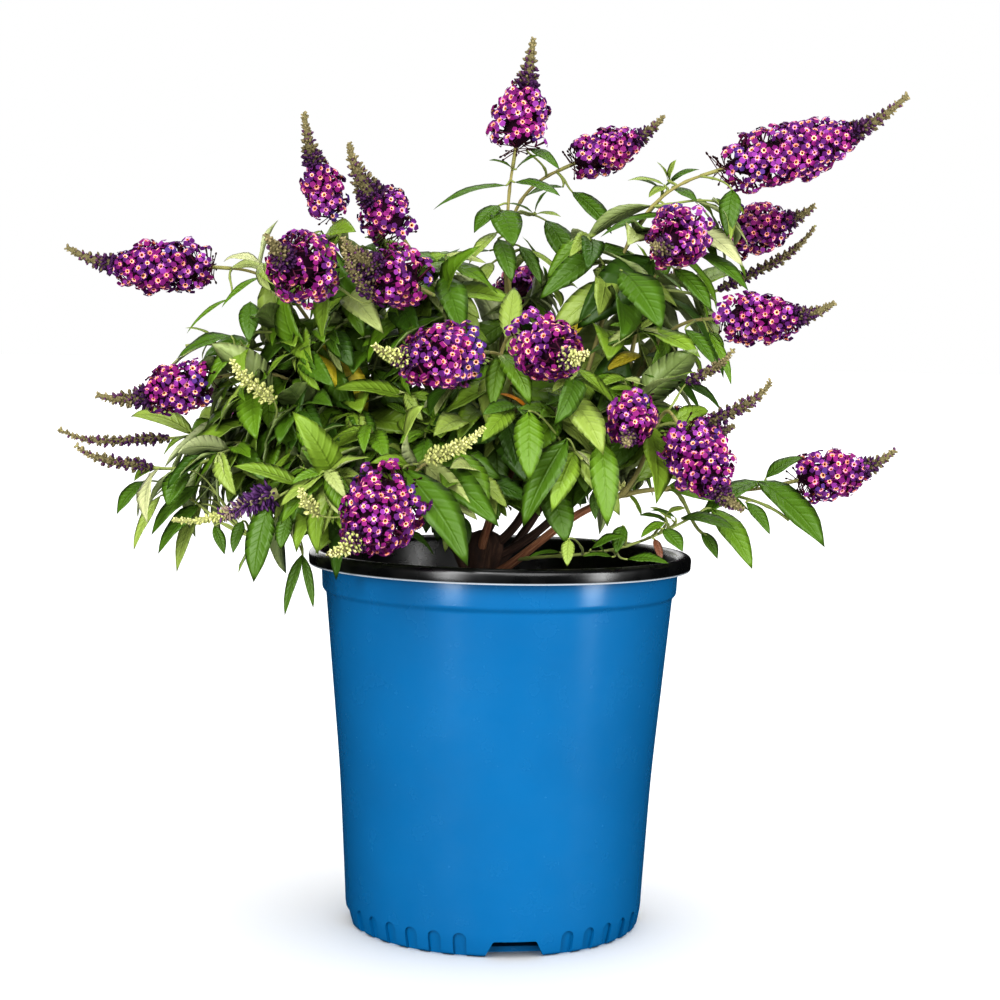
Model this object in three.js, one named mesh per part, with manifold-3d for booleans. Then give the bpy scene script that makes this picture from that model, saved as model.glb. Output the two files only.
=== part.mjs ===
// A flowering butterfly bush in its nursery pot, at its real size.
// Millimetres, +Z up. The origin is the centre of the pot's flat underside, and -Y is the front.
// The plant is a short woody trunk, arching boughs, leafy masses that each grow from a bough's tip
// by one seeded rule, and flower spikes on stalks of their own.

import * as THREE from 'three';
import { mergeVertices } from 'three/addons/utils/BufferGeometryUtils.js';
import Module from 'manifold-3d';

const wasm = await Module();
wasm.setup();

// ---------------------------------------------------------------- driving dimensions

const GAP = 0.3;                // clear space between two touching pieces
const LEAF_CLEAR = 0.6;         // least space between a leaf and anything of another piece

const POT_HEIGHT = 225;
const RIM_RADIUS = 115;         // outside of the rolled rim
const RIM_TALL = 9.5;
const RIM_ROUND = 4;            // how far the roll of the rim turns in at its top
const NECK_RADIUS = 107;        // wall just under the rim
const BAND_HEIGHT = 199;        // underside of the stacking band
const BAND_RADIUS = 104;        // wall just under the band
const BAND_STEP = 2.2;
const WAIST_HEIGHT = 91;        // where the wall changes its taper
const WAIST_RADIUS = 94;
const FOOT_HEIGHT = 14;         // top of the rounded bottom edge
const FOOT_RADIUS = 89.5;
const BASE_RADIUS = 85;         // flat underside
const WALL = 1.3;
const FLOOR = 2.5;
const POT_SIDES = 42;

const NOTCH_COUNT = 4;          // drain notches round the bottom edge
const NOTCH_TOP = 25;
const NOTCH_WIDE = 36;
const NOTCH_TALL = 9.5;
const NOTCH_DEEP = 12;
const NOTCH_AZIMUTH = 278.5;    // the front notch stands a little right of the middle

const SOIL_TOP = 195;
const SOIL_FLAT = 60;           // radius of the level middle
const SOIL_FALL = 3;            // how much lower it lies at the wall
const SOIL_SIDES = 28;

const TRUNK_FOOT = [-14, -8];   // where the trunk stands on the soil
const TRUNK_TOP = [-9, -5];     // it leans a little towards the middle
const TRUNK_HIGH = 237;
const TRUNK_RADIUS = 10.5;
const FLARE_RADIUS = 19;
const TRUNK_SIDES = 8;

const BOUGH_SIDES = 5;
const BOUGH_STEPS = 6;
const BOUGH_RISE = 22;          // degrees above level where it leaves the trunk
const STEM_RADIUS = 1.7;        // green shoot where it leaves the bough
const STEM_APART = 1.7;         // from the middle of a bough's tip that carries two shoots
const STEM_STEP = 30;           // length of one straight piece of a shoot
const STEM_TIP_RADIUS = 0.95;
const STEM_IN_BUDS = 3;         // how far a shoot runs up into its spike of closed buds
const SIDE_RADIUS = 1.0;
const SIDE_TIP_RADIUS = 0.75;
const STALK_LONG = 10;          // bare stalk under a flower spike
const SPIKE_SIDES = 5;
const BUD_SIDES = 4;
const SPIKE_CURL = 26;          // degrees that a spike turns up towards its tip
const SPIKE_SAG = 0.15;         // share of that by which it sags at its foot

const INTERNODE = 27;           // distance between leaf pairs on a shoot
const FIRST_NODE = 9;
const LEAF_LONG = 65;
const LEAF_WIDE = 0.42;         // of its length
const LEAF_THICK = 0.022;       // of its length
const LEAF_WAIST = 0.42;        // the widest place, as a share of the length
const LEAF_ARCH = 0.05;
const LEAF_RISE = 0.2;          // how the ridge rises from the root
const LEAF_FOLD = 0.03;
const LEAF_DROP = 0.1;
const LEAF_SUNK = 0.5;          // its root stands this far past the middle of the stem
const LEAF_BARE = 0.2;          // share of its length next to the stem that may touch other leaves
const LEAF_TURN = 0.3;          // radians that it may turn round the stem, either way
const LEAF_SPREAD = [50, 74];   // degrees between leaf and stem
const LEAF_DROOP = [0.3, 1.15]; // how strongly its own weight bends it down
const LEAF_UPWARD = 0.7;        // how its face leans up, outwards and sideways
const LEAF_OUTWARD = 0.65;
const LEAF_SIDEWAYS = 0.7;
const LEAF_VARIES = [0.86, 1.1];
const LEAF_TAPERS = [1.15, 0.62]; // share of LEAF_LONG at the foot and at the tip of a shoot
const SIDE_LONG = 62;           // longest side twig
const SIDE_CHANCE = 0.16;
const SIDE_VARIES = [0.55, 1];
const SIDE_PAIRS = [0.5, 0.86]; // where its leaf pairs stand, and the share of LEAF_LONG that each has
const SIDE_LEAVES = [0.86, 0.66];
const SPACE_SLACK = 12;         // how much nearer another mass's stem may be to a leaf
const SLIVER = 0.006;           // no edge of a foliage body is shorter
const TRIES = 8;                // turns that a leaf tries before it is skipped
const TRY_SHORTER = 0.06;       // share that each new try takes off its length
const TURN_STEP = 0.13;         // of one side of a stem

const SEED = 8;

const COLOURS = {
  pot: 0x0a6fbe, rim: 0x16171a, soil: 0x2c2119, bark: 0x6b4a33, leaf: 0x4c7a30, bloom: 0x8a2a92,
};

// Boughs: azimuth in degrees (0 is right, 90 is back), how far and how high the tip stands,
// and the height at which the bough leaves the trunk.
const BOUGHS = {
  left: { azimuth: 182, reach: 60, height: 276, leaves: 214 },
  left_front: { azimuth: 222, reach: 52, height: 250, leaves: 205 },
  front: { azimuth: 262, reach: 26, height: 262, leaves: 222 },
  right_front: { azimuth: 325, reach: 78, height: 260, leaves: 206 },
  right: { azimuth: 2, reach: 56, height: 276, leaves: 217 },
  crown_right: { azimuth: 345, reach: 36, height: 296, leaves: 225 },
  top: { azimuth: 70, reach: 18, height: 296, leaves: 235 },
  crown_left: { azimuth: 160, reach: 36, height: 298, leaves: 227 },
  back_left: { azimuth: 136, reach: 52, height: 262, leaves: 206 },
  back: { azimuth: 92, reach: 42, height: 268, leaves: 221 },
  back_right: { azimuth: 50, reach: 56, height: 266, leaves: 206 },
};
const BOUGH_THICK = { foot: 4.3, tip: 3.1 };

// Masses: each grows from a bough's tip as one shoot, with the other shoots forking off it. A shoot
// ends in a flower spike (bloom), in a spike of closed buds (no name, but long and wide) or in leaves.
// foot is where its spike starts, aim is the azimuth and elevation there, and fork is how far up the
// first shoot it branches off.
const MASSES = {
  left_high: {
    bough: 'left',
    shoots: [
      { bloom: 'left_top', foot: [-175, 10, 391], aim: [194, 6], long: 88, wide: 32 },
      { fork: 0.45, foot: [-150, -24, 352], aim: [200, -4] },
      { fork: 0.3, foot: [-186, -12, 344], aim: [190, -6] },
    ],
  },
  left_mid: {
    bough: 'left',
    shoots: [
      { bloom: 'left_mid', foot: [-170, -20, 325], aim: [198, -9], long: 70, wide: 31 },
      { fork: 0.5, foot: [-203, 22, 287], aim: [189, 4], long: 67, wide: 8 },
      { fork: 0.35, foot: [-204, -34, 272], aim: [193, 16], long: 46, wide: 9 },
      { fork: 0.3, foot: [-178, -8, 258], aim: [186, -28] },
    ],
  },
  left_low: {
    bough: 'left_front',
    shoots: [
      { bloom: 'left_low', foot: [-126, -80, 262], aim: [191, -15], long: 60, wide: 22 },
      { fork: 0.3, foot: [-140, -46, 236], aim: [196, -32] },
    ],
  },
  front_left: {
    bough: 'left_front',
    shoots: [
      { bloom: 'front_left_low', foot: [-52, -112, 272], aim: [237, -27], long: 78, wide: 44 },
      { fork: 0.55, foot: [-42, -118, 284], aim: [329, 28], long: 42, wide: 10 },
    ],
  },
  front: {
    bough: 'front',
    shoots: [
      { bloom: 'front_mid', foot: [-16, -80, 343], aim: [226, 2], long: 78, wide: 37 },
      { fork: 0.2, foot: [44, -84, 286], aim: [292, -24] },
    ],
  },
  front_right: {
    bough: 'front',
    shoots: [
      { bloom: 'front_right_mid', foot: [12, -66, 352], aim: [296, -6], long: 74, wide: 37 },
      { fork: 0.25, foot: [-34, -82, 300], aim: [248, -20] },
    ],
  },
  right_front: {
    bough: 'right_front',
    shoots: [
      { bloom: 'right_low_front', foot: [101, -70, 303], aim: [302, -36], long: 72, wide: 37 },
      { fork: 0.5, bloom: 'right_low_inner', foot: [74, -66, 318], aim: [262, -28], long: 50, wide: 28 },
      { fork: 0.62, foot: [117, -56, 305], aim: [343, 35], long: 44, wide: 10 },
    ],
  },
  right_low: {
    bough: 'right_front',
    shoots: [
      { bloom: 'right_low', foot: [176, 0, 270], aim: [350, 19], long: 62, wide: 31 },
      { fork: 0.35, foot: [118, -34, 240], aim: [340, -20] },
      { fork: 0.6, foot: [168, -22, 250], aim: [340, -35] },
    ],
  },
  right_mid: {
    bough: 'right',
    shoots: [
      { bloom: 'right_mid', foot: [125, -30, 366], aim: [334, 8], long: 70, wide: 30 },
    ],
  },
  right_high: {
    bough: 'right',
    shoots: [
      { bloom: 'right_high', foot: [134, 44, 420], aim: [347, 17], long: 57, wide: 33 },
      { fork: 0.62, foot: [133, 62, 385], aim: [351, 35], long: 72, wide: 9 },
    ],
  },
  crown_right: {
    bough: 'crown_right',
    shoots: [
      { bloom: 'right_top', foot: [123, -10, 453], aim: [349, 22], long: 118, wide: 37 },
      { fork: 0.4, bloom: 'right_inner', foot: [106, -30, 419], aim: [244, -14], long: 58, wide: 36 },
      { fork: 0.62, foot: [94, 12, 440], aim: [20, 50] },
    ],
  },
  top_back: {
    bough: 'top',
    shoots: [
      { bloom: 'top_right', foot: [39, 50, 460], aim: [350, 28], long: 64, wide: 28 },
    ],
  },
  top: {
    bough: 'top',
    shoots: [
      { bloom: 'top', foot: [4, 8, 463], aim: [355, 82], long: 68, wide: 35 },
    ],
  },
  crown_left: {
    bough: 'crown_left',
    shoots: [
      { bloom: 'crown_left', foot: [-63, 4, 412], aim: [216, 54], long: 64, wide: 35 },
      { fork: 0.45, bloom: 'crown_left_front', foot: [-50, -42, 380], aim: [220, 25], long: 60, wide: 38 },
    ],
  },
  left_crown: {
    bough: 'crown_left',
    shoots: [
      { bloom: 'left_spire', foot: [-108, 50, 424], aim: [232, 67], long: 68, wide: 27 },
      { fork: 0.4, bloom: 'left_front_high', foot: [-108, -46, 386], aim: [246, 18], long: 62, wide: 42 },
    ],
  },
  back_left: {
    bough: 'back_left',
    shoots: [
      { bloom: 'back_left_high', foot: [-76, 112, 352], aim: [124, 26], long: 78, wide: 32 },
      { fork: 0.4, bloom: 'back_left_mid', foot: [-128, 92, 300], aim: [150, 6], long: 74, wide: 31 },
      { fork: 0.25, bloom: 'back_left_low', foot: [-74, 128, 262], aim: [118, -16], long: 66, wide: 33 },
    ],
  },
  back: {
    bough: 'back',
    shoots: [
      { bloom: 'back_top', foot: [4, 78, 374], aim: [76, 30], long: 70, wide: 31 },
      { fork: 0.4, bloom: 'back_mid', foot: [-16, 140, 314], aim: [98, 4], long: 76, wide: 34 },
    ],
  },
  back_right: {
    bough: 'back_right',
    shoots: [
      { bloom: 'back_right_high', foot: [80, 112, 370], aim: [56, 28], long: 78, wide: 32 },
      { fork: 0.4, bloom: 'back_right_mid', foot: [104, 96, 298], aim: [44, 0], long: 70, wide: 32 },
    ],
  },
  back_right_low: {
    bough: 'back_right',
    shoots: [
      { foot: [70, 132, 262], aim: [66, -6], long: 50, wide: 10 },
    ],
  },
};

// ---------------------------------------------------------------- small helpers

const UP = new THREE.Vector3(0, 0, 1);
const RIGHT = new THREE.Vector3(1, 0, 0);
const vec = (list) => new THREE.Vector3(...list);
const mix = THREE.MathUtils.lerp;
const radians = THREE.MathUtils.degToRad;

// The same numbers always give the same chance, from 0 to 1.
function chance(...keys) {
  let hash = 2166136261;
  for (const key of [SEED, ...keys]) {
    hash = Math.imul(hash ^ key, 16777619) >>> 0;
    hash = Math.imul(hash ^ (hash >>> 13), 1540483477) >>> 0;
    hash = (hash ^ (hash >>> 15)) >>> 0;
  }
  return hash / 4294967296;
}

// The unit direction at an azimuth and an elevation in degrees.
function heading(azimuth, elevation) {
  const a = radians(azimuth);
  const e = radians(elevation);
  return new THREE.Vector3(Math.cos(e) * Math.cos(a), Math.cos(e) * Math.sin(a), Math.sin(e));
}

// Two directions square to an axis: one level, one rising.
function square(axis) {
  const side = new THREE.Vector3().crossVectors(axis, UP);
  if (side.length() < 0.2) {
    side.crossVectors(axis, RIGHT);
  }
  side.normalize();
  return [side, new THREE.Vector3().crossVectors(side, axis).normalize()];
}

// A smooth run from one point to another with a heading at each end.
function arc(from, fromHeading, to, toHeading, pull = 0.36) {
  const reach = from.distanceTo(to) * pull;
  return new THREE.CubicBezierCurve3(
    from,
    from.clone().addScaledVector(fromHeading, reach),
    to.clone().addScaledVector(toHeading, -reach),
    to,
  );
}

// Stations along a curve, each with its place, axis and radius.
function stations(curve, steps, radiusAt, turn = 0) {
  return Array.from({ length: steps + 1 }, (_, i) => {
    const t = i / steps;
    return { at: curve.getPoint(t), axis: curve.getTangent(t), radius: radiusAt(t), turn };
  });
}

// A closed tube through stations. A station of no radius is a point.
function tube(list, sides) {
  const points = [];
  const rings = [];
  let side = square(list[0].axis)[0];
  list.forEach(({ at, axis, radius, turn = 0 }) => {
    side = side.clone().addScaledVector(axis, -side.dot(axis)).normalize();
    const rise = new THREE.Vector3().crossVectors(axis, side);
    const ring = [];
    for (let k = 0; k < (radius > 0 ? sides : 1); k += 1) {
      const angle = (2 * Math.PI * (k + turn)) / sides;
      ring.push(points.length);
      points.push(at.clone()
        .addScaledVector(side, radius * Math.cos(angle))
        .addScaledVector(rise, radius * Math.sin(angle)));
    }
    rings.push(ring);
  });
  const faces = [];
  rings.slice(1).forEach((ring, i) => {
    const last = rings[i];
    for (let k = 0; k < sides; k += 1) {
      const n = (k + 1) % sides;
      if (last.length > 1) {
        faces.push(last[k], last[n], ring[k % ring.length]);
      }
      if (ring.length > 1) {
        faces.push(last[n % last.length], ring[n], ring[k]);
      }
    }
  });
  for (let k = 1; k < sides - 1; k += 1) {
    if (rings[0].length > 1) {
      faces.push(rings[0][0], rings[0][k + 1], rings[0][k]);
    }
    if (rings.at(-1).length > 1) {
      faces.push(rings.at(-1)[0], rings.at(-1)[k], rings.at(-1)[k + 1]);
    }
  }
  return closed(points, faces);
}

function closed(points, faces) {
  const shape = new THREE.BufferGeometry();
  shape.setAttribute('position', new THREE.Float32BufferAttribute(points.flatMap((p) => p.toArray()), 3));
  shape.setIndex(faces);
  return shape;
}

// A three.js geometry as a solid for joining and cutting, and back again.
function solid(geometry) {
  const bare = geometry.clone();
  bare.deleteAttribute('normal');
  bare.deleteAttribute('uv');
  const merged = mergeVertices(bare, 1e-4);
  const corners = Array.from(merged.index.array);
  const faces = corners.filter((_, i) => {
    const [a, b, c] = corners.slice(i - (i % 3), i - (i % 3) + 3);
    return a !== b && b !== c && c !== a;
  });
  return new wasm.Manifold(new wasm.Mesh({
    numProp: 3,
    vertProperties: new Float32Array(merged.attributes.position.array),
    triVerts: new Uint32Array(faces),
  }));
}

function geometryOf(piece) {
  const mesh = piece.getMesh();
  const shape = new THREE.BufferGeometry();
  shape.setAttribute('position', new THREE.BufferAttribute(new Float32Array(mesh.vertProperties), 3));
  shape.setIndex(new THREE.BufferAttribute(new Uint32Array(mesh.triVerts), 1));
  shape.computeVertexNormals();
  return shape;
}

// The length of a body's shortest edge.
function shortestEdge(body) {
  const { vertProperties: spots, triVerts: corners } = body.getMesh();
  let shortest = Infinity;
  corners.forEach((from, i) => {
    const to = corners[i % 3 === 2 ? i - 2 : i + 1];
    const edge = Math.hypot(...[0, 1, 2].map((k) => spots[3 * from + k] - spots[3 * to + k]));
    shortest = Math.min(shortest, edge);
  });
  return shortest;
}

// A body with a piece joined on, or nothing where the join would leave a scrap or a sliver.
function joined(body, piece) {
  const both = body ? body.add(piece) : piece;
  return both.decompose().length === 1 && shortestEdge(both) > SLIVER ? both : null;
}

const plant = new THREE.Group();

function place(name, piece, colour, roughness = 0.7) {
  const material = new THREE.MeshStandardMaterial({ color: COLOURS[colour], roughness, metalness: 0 });
  const mesh = new THREE.Mesh(geometryOf(piece), material);
  mesh.name = name;
  plant.add(mesh);
  return piece;
}

// A turned solid: the outline is radius and height, and it closes on itself or on the axis.
function turned(outline, sides) {
  const lathe = new THREE.LatheGeometry(outline.map(([r, z]) => new THREE.Vector2(r, z)), sides);
  return solid(lathe.rotateX(Math.PI / 2));
}

// ---------------------------------------------------------------- pot and soil

// Outside radius of the wall at a height, below the stacking band.
function wallRadius(z) {
  if (z < WAIST_HEIGHT) {
    return mix(FOOT_RADIUS, WAIST_RADIUS, (z - FOOT_HEIGHT) / (WAIST_HEIGHT - FOOT_HEIGHT));
  }
  return mix(WAIST_RADIUS, BAND_RADIUS, (z - WAIST_HEIGHT) / (BAND_HEIGHT - WAIST_HEIGHT));
}

const RIM_FOOT = POT_HEIGHT - RIM_TALL;

function makePot() {
  const outline = [
    [0, 0],
    [BASE_RADIUS, 0],
    [mix(BASE_RADIUS, FOOT_RADIUS, 2 / 3), FOOT_HEIGHT * 0.3],
    [FOOT_RADIUS, FOOT_HEIGHT],
    [WAIST_RADIUS, WAIST_HEIGHT],
    [BAND_RADIUS, BAND_HEIGHT],
    [BAND_RADIUS + BAND_STEP, BAND_HEIGHT + BAND_STEP],
    [NECK_RADIUS, RIM_FOOT],
    [NECK_RADIUS - WALL, RIM_FOOT],
    [BAND_RADIUS - WALL, BAND_HEIGHT],
    [WAIST_RADIUS - WALL, WAIST_HEIGHT],
    [FOOT_RADIUS - WALL, FOOT_HEIGHT],
    [BASE_RADIUS - WALL, FLOOR],
    [0, FLOOR],
  ];
  let pot = turned(outline, POT_SIDES);
  for (let i = 0; i < NOTCH_COUNT; i += 1) {
    pot = pot.subtract(notch(NOTCH_AZIMUTH + (360 * i) / NOTCH_COUNT));
  }
  return pot;
}

// A drain notch: a trapezoid pushed in through the wall and the edge of the floor.
function notch(azimuth) {
  const outline = new THREE.Shape();
  outline.moveTo(-NOTCH_WIDE / 2, -1);
  outline.lineTo(NOTCH_WIDE / 2, -1);
  outline.lineTo(NOTCH_TOP / 2, NOTCH_TALL);
  outline.lineTo(-NOTCH_TOP / 2, NOTCH_TALL);
  const depth = NOTCH_DEEP + BASE_RADIUS;
  const cutter = new THREE.ExtrudeGeometry(outline, { depth, bevelEnabled: false });
  cutter.rotateX(Math.PI / 2);
  cutter.translate(0, -(BASE_RADIUS - NOTCH_DEEP), 0);
  cutter.rotateZ(radians(azimuth - 270));
  return solid(cutter);
}

// The rolled rim with the black inner face that runs down from it to the soil.
function makeRim() {
  const under = RIM_FOOT + GAP;
  const outer = NECK_RADIUS - WALL - GAP;
  const foot = BAND_RADIUS - WALL - GAP;
  return turned([
    [outer, under],
    [RIM_RADIUS - RIM_ROUND / 2, under],
    [RIM_RADIUS, mix(under, POT_HEIGHT, 0.35)],
    [RIM_RADIUS - RIM_ROUND / 3, mix(under, POT_HEIGHT, 0.75)],
    [RIM_RADIUS - RIM_ROUND, POT_HEIGHT],
    [RIM_RADIUS - 2 * RIM_ROUND, POT_HEIGHT - 1],
    [outer - WALL, under],
    [foot - WALL, SOIL_TOP + GAP],
    [foot - GAP, SOIL_TOP + GAP],
    [foot, BAND_HEIGHT],
    [outer, under],
  ], POT_SIDES);
}

function makeSoil() {
  const inside = (z) => wallRadius(z) - WALL - 2 * GAP;
  return turned([
    [0, FLOOR + GAP],
    [BASE_RADIUS - 2 * WALL, FLOOR + GAP],
    [inside(FOOT_HEIGHT), FOOT_HEIGHT],
    [inside(WAIST_HEIGHT), WAIST_HEIGHT],
    [inside(SOIL_TOP - SOIL_FALL), SOIL_TOP - SOIL_FALL],
    [SOIL_FLAT, SOIL_TOP],
    [0, SOIL_TOP],
  ], SOIL_SIDES);
}

// Every shoot with the mass it belongs to. The first of a mass also names its bough.
const SHOOTS = Object.entries(MASSES).flatMap(([mass, { bough, shoots }]) => (
  shoots.map((shoot, i) => (i ? { mass, ...shoot } : { mass, bough, ...shoot }))
));

// ---------------------------------------------------------------- trunk and boughs

// The short trunk: a flat cut on the soil, a root flare, a slight lean and a rounded top.
function makeTrunk(grown = 0) {
  const foot = vec([...TRUNK_FOOT, SOIL_TOP + GAP]);
  const top = vec([...TRUNK_TOP, TRUNK_HIGH + grown]);
  const outline = [[0, 1], [0.1, 0.45], [0.25, 0.12], [0.6, 0], [0.85, -0.08], [1, -0.5]];
  return solid(tube(outline.map(([t, flare]) => ({
    at: foot.clone().lerp(top, t),
    axis: UP,
    radius: TRUNK_RADIUS + flare * (FLARE_RADIUS - TRUNK_RADIUS) + grown,
  })), TRUNK_SIDES));
}

const boughTips = {};

function makeBough(name, trunk) {
  const { azimuth, reach, height, leaves } = BOUGHS[name];
  const goals = SHOOTS.filter((shoot) => shoot.bough === name).map(({ foot }) => vec(foot));
  const goal = goals.reduce((sum, p) => sum.add(p), new THREE.Vector3()).divideScalar(goals.length);
  const up = (leaves - SOIL_TOP) / (TRUNK_HIGH - SOIL_TOP);
  const from = vec([...TRUNK_FOOT, leaves]).lerp(vec([...TRUNK_TOP, leaves]), up);
  const to = heading(azimuth, 0).multiplyScalar(reach).setZ(height);
  const onward = goal.sub(to).normalize();
  const curve = arc(from, heading(azimuth, BOUGH_RISE), to, onward);
  const radiusAt = (t) => mix(BOUGH_THICK.foot, BOUGH_THICK.tip, t);
  boughTips[name] = { at: to, axis: curve.getTangent(1) };
  const limb = solid(tube(stations(curve, BOUGH_STEPS, radiusAt), BOUGH_SIDES));
  const pieces = limb.subtract(trunk).decompose();
  return pieces.reduce((a, b) => (a.volume() > b.volume() ? a : b));
}

// ---------------------------------------------------------------- shoots, twigs and spikes

// A flower spike: a bumpy cone of blossom that thins to a tail of closed buds.
const BLOSSOM = [
  [0, 0.12], [0.05, 0.72], [0.17, 1], [0.29, 0.84], [0.42, 0.96], [0.55, 0.66], [0.68, 0.34], [0.84, 0.24],
  [1, 0],
];
const BUDS = [[0, 0.5], [0.15, 1], [0.35, 0.75], [0.55, 0.85], [0.78, 0.5], [1, 0]];

// A spike sags a little under its foot and turns up again towards its tip.
function spikeCurve({ foot, aim: [azimuth, elevation], long }) {
  const curl = Math.min(SPIKE_CURL, 84 - elevation);
  const tip = vec(foot).addScaledVector(heading(azimuth, elevation), long);
  return arc(
    vec(foot),
    heading(azimuth, elevation - curl * SPIKE_SAG),
    tip,
    heading(azimuth, elevation + curl),
  );
}

// The heading at the foot of a spike, which its stalk shares.
const footHeading = ({ aim: [azimuth, elevation] }) => (
  heading(azimuth, elevation - Math.min(SPIKE_CURL, 84 - elevation) * SPIKE_SAG)
);

function spikeStations(shoot, outline, turn = 0) {
  const curve = spikeCurve(shoot);
  return outline.map(([t, share], i) => ({
    at: curve.getPoint(t),
    axis: curve.getTangent(t),
    radius: (share * shoot.wide) / 2,
    turn: turn + (i % 2) / 2,
  }));
}

function makeFlower(shoot) {
  const aim = footHeading(shoot);
  const foot = vec(shoot.foot).addScaledVector(aim, -STALK_LONG);
  const stalk = { at: foot, axis: aim, radius: STEM_TIP_RADIUS };
  return solid(tube([stalk, ...spikeStations(shoot, BLOSSOM)], SPIKE_SIDES));
}

function shootEnd(shoot) {
  const back = shoot.bloom ? STALK_LONG + GAP : -STEM_IN_BUDS;
  return vec(shoot.foot).addScaledVector(footHeading(shoot), -back);
}

const firstShoot = (mass) => SHOOTS.find((shoot) => shoot.mass === mass);

// Where a mass's stem starts on its bough's tip: in the middle, or beside the mass that shares it.
function besideTip(mass) {
  const { bough } = firstShoot(mass);
  const tip = boughTips[bough];
  const side = square(tip.axis)[0];
  const across = (other) => {
    const shoot = firstShoot(other);
    return arc(tip.at, tip.axis, shootEnd(shoot), footHeading(shoot)).getPoint(0.4).dot(side);
  };
  const sharing = [...new Set(SHOOTS.filter((s) => s.bough === bough).map((s) => s.mass))];
  sharing.sort((a, b) => across(a) - across(b));
  return side.multiplyScalar(STEM_APART * (2 * sharing.indexOf(mass) - sharing.length + 1));
}

// A shoot as straight pieces between corners on its curve. Leaves and forks root on these pieces.
function jointed(curve) {
  const corners = curve.getPoints(Math.ceil(curve.getLength() / STEM_STEP));
  const path = new THREE.CurvePath();
  corners.slice(1).forEach((corner, i) => path.add(new THREE.LineCurve3(corners[i], corner)));
  return path;
}

// The curve of each shoot of a mass: the first leaves the bough's tip, the rest fork off the first.
function shootCurves(mass) {
  const [first, ...rest] = SHOOTS.filter((shoot) => shoot.mass === mass);
  const tip = boughTips[first.bough];
  const side = besideTip(mass);
  const from = tip.at.clone().addScaledVector(tip.axis, GAP).add(side);
  const main = arc(from, tip.axis, shootEnd(first), footHeading(first));
  const path = jointed(main);
  const forks = rest.map((shoot) => {
    const root = path.getPoint(shoot.fork);
    const end = shootEnd(shoot);
    const away = end.clone().sub(root).normalize().add(path.getTangent(shoot.fork)).normalize();
    const curve = arc(root, away, end, footHeading(shoot));
    return { curve, path: jointed(curve), shoot };
  });
  return [{ curve: main, path, shoot: first }, ...forks];
}

// ---------------------------------------------------------------- leaves

// A leaf of eight faces: root, tip, two edges at the widest place, and a ridge above a keel.
function leafSolid({ root, along, up, long }, start = 0) {
  const side = new THREE.Vector3().crossVectors(up, along);
  const spot = (share, across, rise) => root.clone()
    .addScaledVector(along, share * long)
    .addScaledVector(side, across * long)
    .addScaledVector(up, rise * long);
  const ridge = LEAF_ARCH + LEAF_THICK / 2;
  const points = [
    spot(start, 0, start * LEAF_RISE),
    spot(1, 0, -LEAF_DROP),
    spot(LEAF_WAIST, LEAF_WIDE / 2, LEAF_ARCH + LEAF_FOLD),
    spot(LEAF_WAIST, -LEAF_WIDE / 2, LEAF_ARCH + LEAF_FOLD),
    spot(LEAF_WAIST, 0, ridge),
    spot(LEAF_WAIST, 0, ridge - LEAF_THICK),
  ];
  const faces = [0, 4, 2, 2, 4, 1, 1, 4, 3, 3, 4, 0, 0, 2, 5, 2, 1, 5, 1, 3, 5, 3, 0, 5];
  return solid(closed(points, faces));
}

// One leaf that leaves a stem at a place, turned by an angle round the stem.
function leafAt(spot, axis, angle, long, keys) {
  const [side, rise] = square(axis);
  const turn = angle + mix(-LEAF_TURN, LEAF_TURN, chance(...keys, 1));
  const spread = radians(mix(...LEAF_SPREAD, chance(...keys, 2)));
  const droop = mix(...LEAF_DROOP, chance(...keys, 3));
  const along = side.clone().multiplyScalar(Math.cos(turn)).addScaledVector(rise, Math.sin(turn))
    .multiplyScalar(Math.sin(spread))
    .addScaledVector(axis, Math.cos(spread))
    .addScaledVector(UP, -droop)
    .normalize();
  const outward = spot.clone().setZ(0).normalize();
  const up = UP.clone().multiplyScalar(LEAF_UPWARD)
    .addScaledVector(outward, LEAF_OUTWARD)
    .addScaledVector(side, mix(-LEAF_SIDEWAYS, LEAF_SIDEWAYS, chance(...keys, 4)));
  up.addScaledVector(along, -up.dot(along)).normalize();
  const root = spot.clone().addScaledVector(along, -LEAF_SUNK);
  return { root, along, up, long: long * mix(...LEAF_VARIES, chance(...keys, 5)) };
}

// The leaf pairs and side twigs of one shoot, in its own order.
function dressShoot(path, number, mass) {
  const length = path.getLength();
  const leaves = [];
  const twigs = [];
  for (let node = 0, s = FIRST_NODE; s < length - 2; node += 1, s += INTERNODE) {
    const t = s / length;
    const spot = path.getPoint(t);
    const axis = path.getTangent(t);
    for (let k = 0; k < 2; k += 1) {
      const angle = Math.PI * (k + node / 2);
      const keys = [mass, number, node, k];
      if (s < length - INTERNODE && chance(...keys, 6) < SIDE_CHANCE) {
        twigs.push(sideTwig(spot, axis, angle, mix(1, 0.6, t), keys));
      } else {
        leaves.push({ spot, axis, angle, long: LEAF_LONG * mix(...LEAF_TAPERS, t), keys });
      }
    }
  }
  return { leaves, twigs };
}

// A side twig that rises in place of a leaf, with two leaf pairs of its own.
function sideTwig(spot, axis, angle, share, keys) {
  const [side, rise] = square(axis);
  const out = side.multiplyScalar(Math.cos(angle)).addScaledVector(rise, Math.sin(angle))
    .addScaledVector(axis, 0.75)
    .addScaledVector(UP, 0.2)
    .normalize();
  const long = SIDE_LONG * share * mix(...SIDE_VARIES, chance(...keys, 7));
  const line = new THREE.LineCurve3(spot, spot.clone().addScaledVector(out, long));
  const leaves = [];
  SIDE_PAIRS.forEach((t, pair) => {
    for (let k = 0; k < 2; k += 1) {
      leaves.push({
        spot: line.getPoint(t),
        axis: out,
        angle: Math.PI * (k + pair / 2),
        long: LEAF_LONG * SIDE_LEAVES[pair],
        keys: [...keys, 8, pair, k],
      });
    }
  });
  return { line, leaves };
}

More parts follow.
